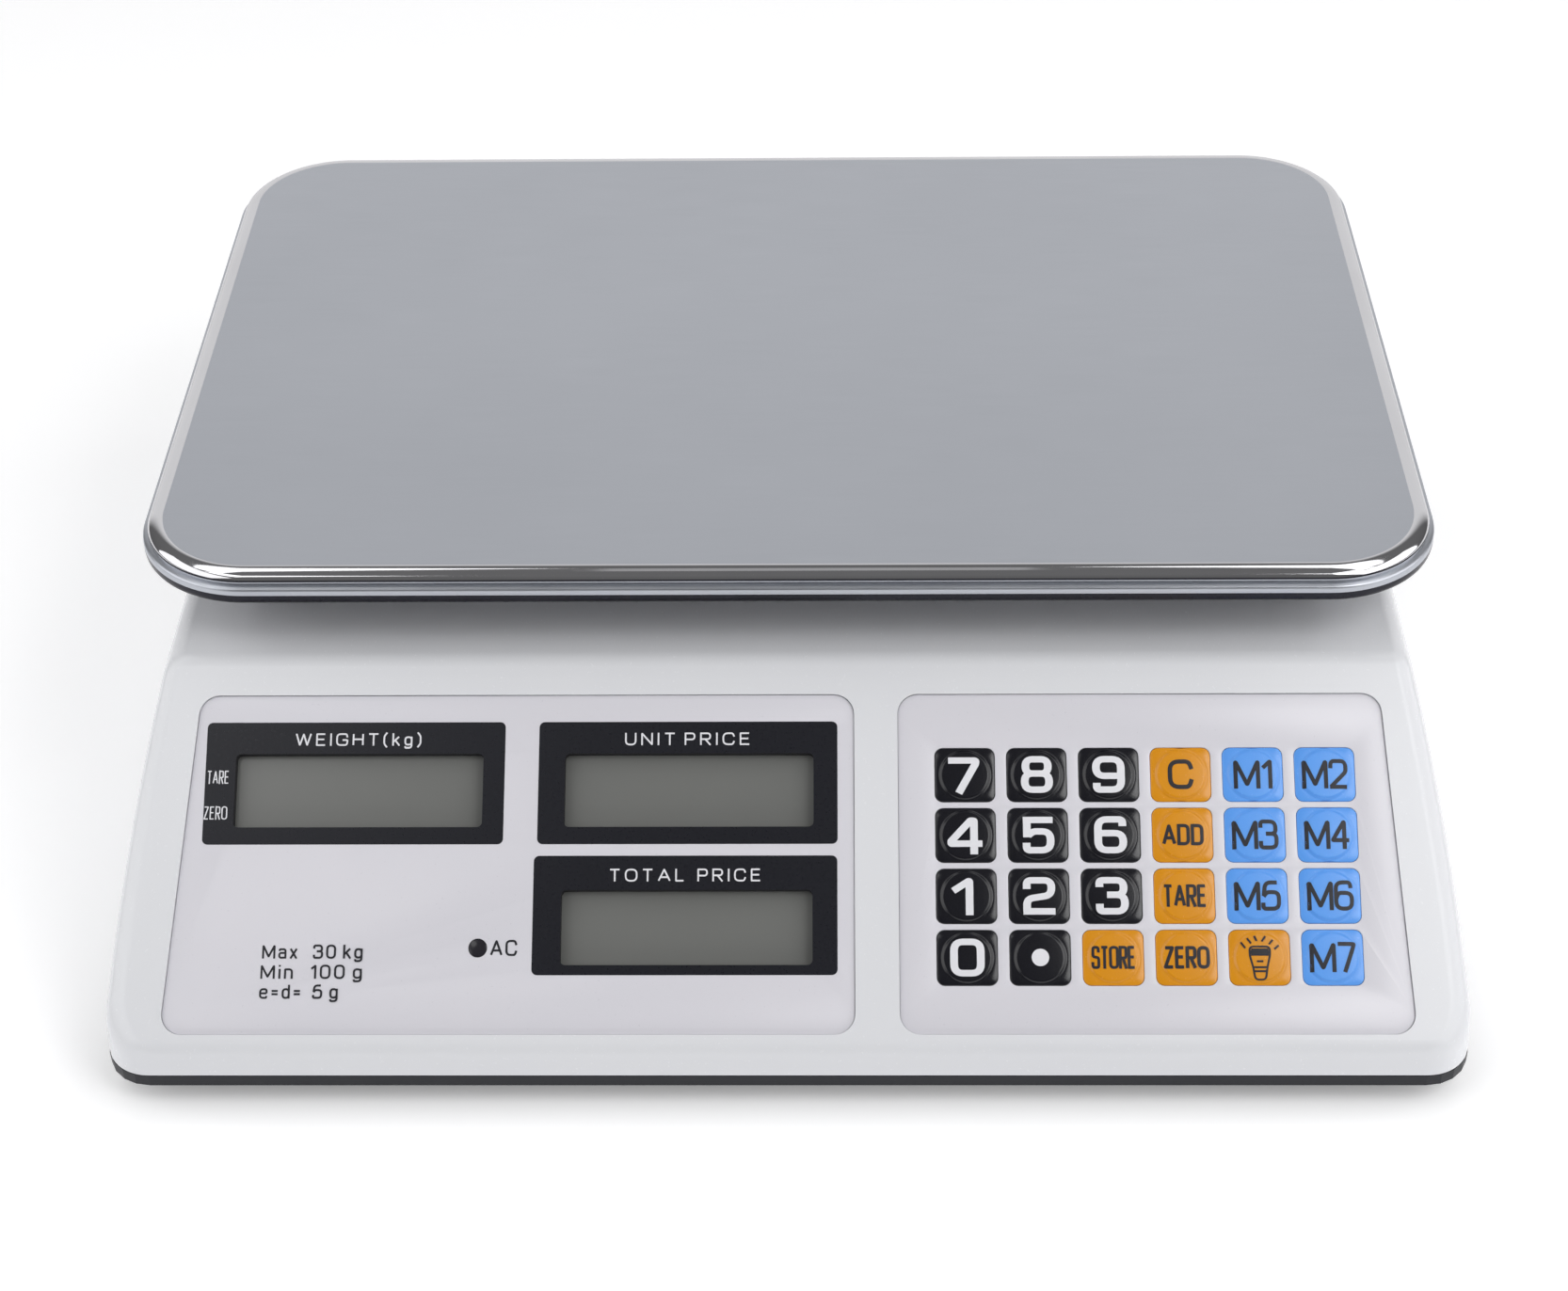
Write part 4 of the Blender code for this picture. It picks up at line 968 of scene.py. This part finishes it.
def domeHeight(x, y):
    # a plateau with a soft shoulder and a slight crown
    r = math.hypot(x, y)
    t = min(max((dome["radius"] - r) / dome["shoulder"], 0), 1)
    shoulder = t * t * (3 - 2 * t) * dome["rise"]
    crown = dome["crown"] * max(1 - (r / dome["radius"]) ** 2, 0)
    return shoulder + crown


def boxPoint(across, up, corner, angle):
    # where a ray from the middle meets a rounded rectangle of these half sizes
    x, y = math.cos(angle), math.sin(angle)
    reach = min(across / max(abs(x), 1e-9), up / max(abs(y), 1e-9))
    middle = Vector((across - corner, up - corner))
    run = Vector((abs(x), abs(y)))
    if abs(x) * reach > middle.x and abs(y) * reach > middle.y:
        along = run.dot(middle)
        reach = along + math.sqrt(max(along**2 - middle.length_squared + corner**2, 0))
    return x * reach, y * reach


def keyMesh(name):
    # a rounded tile; rings from the middle to the edge carry the embossed plateau
    sketch = bmesh.new()
    width, height = keyGrid["size"]
    count = dome["turns"]
    turns = [2 * math.pi * (i + 0.5) / count for i in range(count)]
    face, base, edge = keyGrid["face"], keyGrid["base"], keyGrid["edge"]
    rings = []
    for r in [0.25, 0.5, 0.7, 0.8] + [0.84 + 0.16 * k / 8 for k in range(9)] + [1.03]:
        spots = [(r * dome["radius"] * math.cos(a), r * dome["radius"] * math.sin(a)) for a in turns]
        rings.append([(x, y, face + domeHeight(x, y)) for x, y in spots])
    for inset, z in ((edge, face), (edge * 0.3, face - edge * 0.3), (0, face - edge), (0, base)):
        box = (width / 2 - inset, height / 2 - inset, keyGrid["corner"] - inset)
        rings.append([(*boxPoint(*box, a), z) for a in turns])
    grid = [[sketch.verts.new(point) for point in ring] for ring in rings]
    middle = sketch.verts.new((0, 0, face + domeHeight(0, 0)))
    for i in range(count):
        j = (i + 1) % count
        sketch.faces.new((middle, grid[0][i], grid[0][j]))
        for upper, lower in zip(grid, grid[1:]):
            sketch.faces.new((upper[i], lower[i], lower[j], upper[j]))
    sketch.faces.new(grid[-1])
    bmesh.ops.recalc_face_normals(sketch, faces=sketch.faces)
    mesh = bpy.data.meshes.new(name)
    sketch.to_mesh(mesh)
    sketch.free()
    return mesh


def drape(mesh):
    # cuts a flat print into small patches and lays it over the plateau
    sketch = bmesh.new()
    sketch.from_mesh(mesh)
    for axis in (0, 1):
        for k in range(-12, 13):
            spot, normal = [0, 0, 0], [0, 0, 0]
            spot[axis], normal[axis] = k * dome["patch"], 1
            geometry = list(sketch.verts) + list(sketch.edges) + list(sketch.faces)
            bmesh.ops.bisect_plane(sketch, geom=geometry, plane_co=spot, plane_no=normal, dist=1e-7)
    for vert in sketch.verts:
        vert.co.z += domeHeight(vert.co.x, vert.co.y)
    sketch.to_mesh(mesh)
    sketch.free()
    return mesh


digits = {
    "size": (6.2 * mm, 7.9 * mm),  # the stroke's centre line, across and up
    "stroke": 1.95 * mm,
    "flatter": 0.84,  # level strokes are this much thinner
    "corner": 2.3 * mm,
    "corners": {"1": 0.2 * mm, "4": 0.2 * mm, "7": 0.8 * mm},  # and where a digit has its own
}
digitPaths = {  # points across and up from 0 to 1, and whether the stroke closes
    "0": [([(-0.04, 0), (1.04, 0), (1.04, 1), (-0.04, 1)], True)],
    "1": [([(-0.04, 0.66), (0.62, 0.99), (0.62, -0.12)], False)],
    "2": [
        ([(0, 0.72), (0, 1), (1, 1), (1, 0.52), (0, 0.4), (0, 0)], False),
        ([(-0.15, 0), (1.15, 0)], False),
    ],
    "3": [
        ([(0, 0.78), (0, 1), (0.98, 1), (0.98, 0.53), (0.3, 0.53)], False),
        ([(0.3, 0.53), (1.02, 0.53), (1.02, 0), (0, 0), (0, 0.24)], False),
    ],
    "4": [([(0.84, -0.13), (0.84, 0.965), (0.7, 0.965), (-0.09, 0.3), (-0.09, 0.216), (1.18, 0.216)], False)],
    "5": [
        ([(1.11, 0.985), (-0.11, 0.985)], False),
        ([(0.05, 1.08), (0.05, 0.42)], False),
        ([(0.1, 0.48), (0.3, 0.61), (1.01, 0.61), (1.01, 0), (0.03, 0), (0.03, 0.24)], False),
    ],
    "6": [([(1, 0.78), (1, 1), (0, 1), (0, 0), (1.02, 0), (1.02, 0.55), (0.04, 0.55)], False)],
    "7": [([(-0.18, 0.965), (0.96, 0.965), (0.93, 0.84), (0.24, -0.11)], False)],
    "8": [
        ([(0.04, 0.53), (0.96, 0.53), (0.96, 1), (0.04, 1)], True),
        ([(0, 0), (1, 0), (1, 0.53), (0, 0.53)], True),
    ],
    "9": [([(0, 0.22), (0, 0), (1, 0), (1, 1), (-0.02, 1), (-0.02, 0.45), (0.96, 0.45)], False)],
}


def digitMesh(digit):
    width, height = digits["size"]
    corner = digits["corners"].get(digit, digits["corner"])
    strokes = []
    for points, closed in digitPaths[digit]:
        scaled = [((x - 0.5) * width, (y - 0.5) * height) for x, y in points]
        strokes.append((roundedPath(scaled, corner, closed), closed))
    return strokeMesh(strokes, digits["stroke"], digits["flatter"])


lampIcon = {  # in mm about the key's middle
    "body": [(-2.6, 2.7), (2.6, 2.7), (2.5, 0.4), (1.8, -2.4), (1.3, -5.6), (-1.3, -5.6), (-1.8, -2.4), (-2.5, 0.4)],
    "bars": [(2.15, 2.0), (2.3, 1.55), (2.3, 1.1), (2.2, 0.65), (0.8, -1.0), (1.6, -2.5), (1.45, -3.5)],
    "rays": [
        (-4.7, 3.8, -3.6, 2.3), (-3.1, 4.8, -2.1, 3.5), (-1.3, 5.4, -0.7, 4.1),
        (1.5, 5.3, 0.6, 4.0), (3.3, 4.4, 2.4, 3.3), (4.8, 3.0, 3.7, 2.1),
    ],
    "corner": 1.1,
    "stroke": 0.48,
}


def lampMesh():
    # a lamp with a dark crown, bars across its cap and rays above
    strokes = [(roundedPath([Vector(p) * mm for p in lampIcon["body"]], lampIcon["corner"] * mm, True), True)]
    strokes += [([Vector((-half, y)) * mm, Vector((half, y)) * mm], False) for half, y in lampIcon["bars"]]
    strokes += [([Vector(ray[:2]) * mm, Vector(ray[2:]) * mm], False) for ray in lampIcon["rays"]]
    return strokeMesh(strokes, lampIcon["stroke"] * mm)


legendSizes = {  # overall width, capital height and stroke; the memory keys share the last
    "C": (6.6 * mm, 7.7 * mm, 1.1 * mm),
    "ADD": (10.5 * mm, 5.5 * mm, 0.84 * mm),
    "TARE": (11.1 * mm, 5.8 * mm, 0.8 * mm),
    "STORE": (11.1 * mm, 5.8 * mm, 0.72 * mm),
    "ZERO": (11.6 * mm, 5.7 * mm, 0.86 * mm),
    "M1": (9.8 * mm, 7.7 * mm, 1.02 * mm),
    "M": (11.7 * mm, 7.7 * mm, 1.02 * mm),
    "gap": {"M": 0.2, "other": 0.36},  # between letters, in capital heights
    "point": 2.2 * mm,
}


def legendMesh(legend):
    if legend.isdigit():
        return digitMesh(legend)
    if legend == ".":
        radius, thick = legendSizes["point"], 0.03 * mm
        return lathedMesh("point", [(0, thick), (radius, thick), (radius, 0), (0, 0)], 28)
    if legend == "lamp":
        return lampMesh()
    gap = legendSizes["gap"]["M" if legend[0] == "M" else "other"]
    return letterMesh(legend, *legendSizes.get(legend, legendSizes["M"]), gap)


def makeKeys():
    shapes = {}
    for name, legend, x, y in keySpots():
        body = name + "_body"
        number = legend.isdigit() or legend == "."
        kind = "number_key" if number else ("memory_key" if legend[0] == "M" else "function_key")
        if kind not in shapes:
            shapes[kind] = keyMesh(kind)
        place = panelFrame @ Matrix.Translation((x, y, 0))
        cap = addPiece(name + "_cap", shapes[kind], slotFinishes[kind], body, place, smooth=50)
        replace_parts(cap, name)
        lifted = place @ Matrix.Translation((0, 0, keyGrid["face"] + dome["lift"]))
        ink = "screenInkWhite" if number else "screenInkCharcoal"
        addPiece(name + "_legend", drape(legendMesh(legend)), ink, body, lifted, smooth=0)


makeKeys()
print("keys made")

contacts = {
    "spots": ((-7 * mm, -2 * mm), (7 * mm, -2 * mm), (0, 2.4 * mm)),  # about the inlet's middle
    "size": (2 * mm, 4 * mm, 0.5 * mm),  # width, height and corner
    "reach": (-17 * mm, -3 * mm),  # foot and tip, from the wall's face
    "edge": 0.3 * mm,
}
marks = {  # generic on and off marks on the rocker
    "sunk": -0.9 * mm,
    "lift": 0.78 * mm,
    "rest": math.radians(8),  # how the rocker leans at rest
    "face": math.atan(1.0 / 7.2),  # how each half of its face slopes
    "across": 4.2 * mm,
    "bar": (1.7 * mm, 0.6 * mm),  # half its length, and its stroke
    "ring": (1.5 * mm, 0.5 * mm),  # its radius, and its stroke
}


def makePowerEntry():
    x, y = entry["inlet"][0]
    for k, (across, up) in enumerate(contacts["spots"]):
        outline = roundedBox(*contacts["size"], (0, 0), 3)
        blade = sheetMesh("blade", outline, *contacts["reach"], (), contacts["edge"])
        place = sideFrame @ Matrix.Translation((x + across, y + up, 0))
        addPiece(f"inlet_contact_{k + 1}", blade, "brassTinned", caseBody, place)
    middle = Matrix.Translation((*entry["switch"][0], marks["sunk"]))
    rocker = sideFrame @ middle @ Matrix.Rotation(marks["rest"], 4, "Y")
    half, stroke = marks["bar"]
    bar = strokeMesh([([Vector((0, -half)), Vector((0, half))], False)], stroke)
    radius, stroke = marks["ring"]
    ring = strokeMesh([(circle(radius, (0, 0)), True)], stroke)
    for name, mesh, side in (("mark_on", bar, -1), ("mark_off", ring, 1)):
        lifted = Matrix.Translation((side * marks["across"], 0, marks["lift"]))
        place = rocker @ lifted @ Matrix.Rotation(-side * marks["face"], 4, "Y")
        addPiece(name, mesh, "screenInkWhite", "rocker_body", place, smooth=0)


screw = {
    "head": [(0, 0), (2.9, 0), (3.1, -0.25), (2.9, -0.8), (2.1, -1.25), (0, -1.45)],  # turned, in mm
    "recess": (3.4 * mm, 0.75 * mm, 0.2 * mm),  # arm length, width and corner
    "recessDepth": (-3 * mm, -0.5 * mm),
    "spots": [(x * mm, y * mm) for x in (-160, 160) for y in (-142, 0, 142)],
    "sunk": 1.75 * mm,
}


def screwMesh():
    # a pan-head screw with a cross recess, its head down
    head = [(r * mm, z * mm) for r, z in screw["head"]]
    blank = bpy.data.objects.new("blank", lathedMesh("screw", head, 28))
    bpy.context.scene.collection.objects.link(blank)
    tools = []
    for k in range(2):
        arm = sheetMesh("arm", roundedBox(*screw["recess"], (0, 0), 2), *screw["recessDepth"])
        tools.append(addCutter(blank, arm, Matrix.Rotation(k * math.pi / 2, 4, "Z")))
    mesh = applyAll(blank)
    for gone in (blank, *tools):
        bpy.data.objects.remove(gone)
    return mesh


def makeScrews():
    shape = screwMesh()
    shape.materials.append(finishes["steelZincPlated"])
    for k, (x, y) in enumerate(screw["spots"]):
        # each was left at its own angle
        turn = Matrix.Rotation(0.4 + 0.9 * k, 4, "Z")
        place = Matrix.Translation((x, y, case["underside"] + screw["sunk"])) @ turn
        addPiece(f"case_screw_{k + 1}", shape, "steelZincPlated", caseBody, place)


makePowerEntry()
makeScrews()
print("small parts made")

studio = {
    # seamless background paper, matt
    "floor": {
        "colour": "FDFDFE", "shade": "FAFAFB", "cloud": 0.5, "grain": 2 * mm,
        "depth": 0.01 * mm, "roughness": (0.7, 0.9),
    },
    "floorSize": 6,
    "sweep": (0.21, 0.6),  # light coming through the floor near the scale and far from it, as from a lit table
    "sweepFrom": (0.9, 3.0),  # and the distances, in metres, between which it grows
    "low": 0.15,  # the room's brightness near the horizon on the operator's side
    "high": 0.2,  # overhead
    "back": 0.97,  # and behind the scale
    "backEdge": (0.66, 0.78),  # where the bright part begins, as the share of a direction that points back
    "lamps": [  # name, size, radiance, place, target
        ("overhead_left", (0.9, 0.38), 1.8, (-0.57, 0.34, 1.3), (0, 0, 0.05)),
        ("overhead_right", (0.9, 0.38), 1.9, (0.57, 0.34, 1.3), (0, 0, 0.05)),
        ("overhead_middle", (0.3, 0.38), 0.3, (0, 0.34, 1.3), (0, 0, 0.05)),
        ("strip_left", (0.7, 0.28), 2.0, (-0.58, -0.4, 1.3), (0, 0, 0.05)),
        ("strip_right", (0.7, 0.28), 2.1, (0.66, -0.4, 1.3), (0, 0, 0.05)),
        ("gloss_right", (0.5, 0.4), 3.6, (0.64, -0.72, 1.2), (0.15, -0.1, 0.05)),
        ("side_left", (1.8, 1.2), 1.5, (-1.25, -0.4, 0.78), (0, 0, 0.05)),
        ("side_right", (1.8, 1.2), 1.8, (1.25, -0.4, 0.78), (0, 0, 0.05)),
    ],
}


def makeFloor():
    mesh = bpy.data.meshes.new("floor")
    sketch = bmesh.new()
    bmesh.ops.create_grid(sketch, x_segments=8, y_segments=8, size=studio["floorSize"])
    sketch.to_mesh(mesh)
    sketch.free()
    floor = bpy.data.objects.new("floor", mesh)
    bpy.context.scene.collection.objects.link(floor)
    paper = makeMaterial("paperMatt", studio["floor"])
    tree = paper.node_tree
    place = addNode(tree, "ShaderNodeTexCoord")
    distance = addNode(tree, "ShaderNodeVectorMath", {"operation": "LENGTH"}, {0: place.outputs["Object"]})
    (near, far), (start, end) = studio["sweep"], studio["sweepFrom"]
    growth = addNode(
        tree,
        "ShaderNodeMapRange",
        {"interpolation_type": "SMOOTHSTEP", "From Min": start, "From Max": end, "To Min": near, "To Max": far},
        {"Value": distance.outputs["Value"]},
    )
    glow = tree.nodes["Principled BSDF"]
    glow.inputs["Emission Color"].default_value = (1, 1, 1, 1)
    tree.links.new(growth.outputs[0], glow.inputs["Emission Strength"])
    floor.data.materials.append(paper)


def addLight(name, size, radiance, place, target):
    lamp = bpy.data.lights.new(name, "AREA")
    lamp.shape = "RECTANGLE"
    lamp.size, lamp.size_y = size
    lamp.energy = math.pi * size[0] * size[1] * radiance
    made = bpy.data.objects.new(name, lamp)
    bpy.context.scene.collection.objects.link(made)
    made.location = place
    made.rotation_euler = (Vector(target) - Vector(place)).to_track_quat("-Z", "Y").to_euler()
    return made


def makeStudio():
    world = bpy.data.worlds.new("studio")
    bpy.context.scene.world = world
    world.use_nodes = True
    tree = world.node_tree
    back = tree.nodes["Background"]
    back.inputs["Strength"].default_value = 1
    # the room is dim towards the operator's side and bright behind the scale
    start, end = studio["backEdge"]
    place = addNode(tree, "ShaderNodeTexCoord")
    ahead = addNode(tree, "ShaderNodeSeparateXYZ", None, {0: place.outputs["Generated"]})
    front = addNode(
        tree,
        "ShaderNodeMapRange",
        {"From Min": 0.2, "From Max": 0.9, "To Min": studio["low"], "To Max": studio["high"]},
        {"Value": ahead.outputs["Z"]},
    )
    level = addNode(
        tree,
        "ShaderNodeMapRange",
        {"interpolation_type": "SMOOTHSTEP", "From Min": start, "From Max": end, "To Max": studio["back"]},
        {"Value": ahead.outputs["Y"], "To Min": front.outputs[0]},
    )
    tree.links.new(level.outputs[0], back.inputs["Color"])
    for lamp in studio["lamps"]:
        addLight(*lamp)
    bpy.context.scene.view_settings.view_transform = "Standard"


cameraView = {
    "place": (12.33 * mm, -660.6 * mm, 544.5 * mm),
    "pitch": math.radians(38.116),  # downwards
    "yaw": math.radians(-1.248),
    "roll": math.radians(-0.923),
    "lens": 66.57,
}


def makeCamera():
    lens = bpy.data.cameras.new("camera")
    lens.sensor_width = 36
    lens.lens = cameraView["lens"]
    lens.clip_start, lens.clip_end = 0.01, 50
    camera = bpy.data.objects.new("camera", lens)
    bpy.context.scene.collection.objects.link(camera)
    pitch, yaw, roll = cameraView["pitch"], cameraView["yaw"], cameraView["roll"]
    ahead = Vector((math.sin(yaw) * math.cos(pitch), math.cos(yaw) * math.cos(pitch), -math.sin(pitch)))
    level = Vector((math.cos(yaw), -math.sin(yaw), 0))
    up = level.cross(ahead)
    right = level * math.cos(roll) + up * math.sin(roll)
    top = up * math.cos(roll) - level * math.sin(roll)
    turn = Matrix((right, top, -ahead)).transposed().to_4x4()
    camera.matrix_world = Matrix.Translation(cameraView["place"]) @ turn
    bpy.context.scene.camera = camera


makeFloor()
makeStudio()
makeCamera()
print("studio ready")
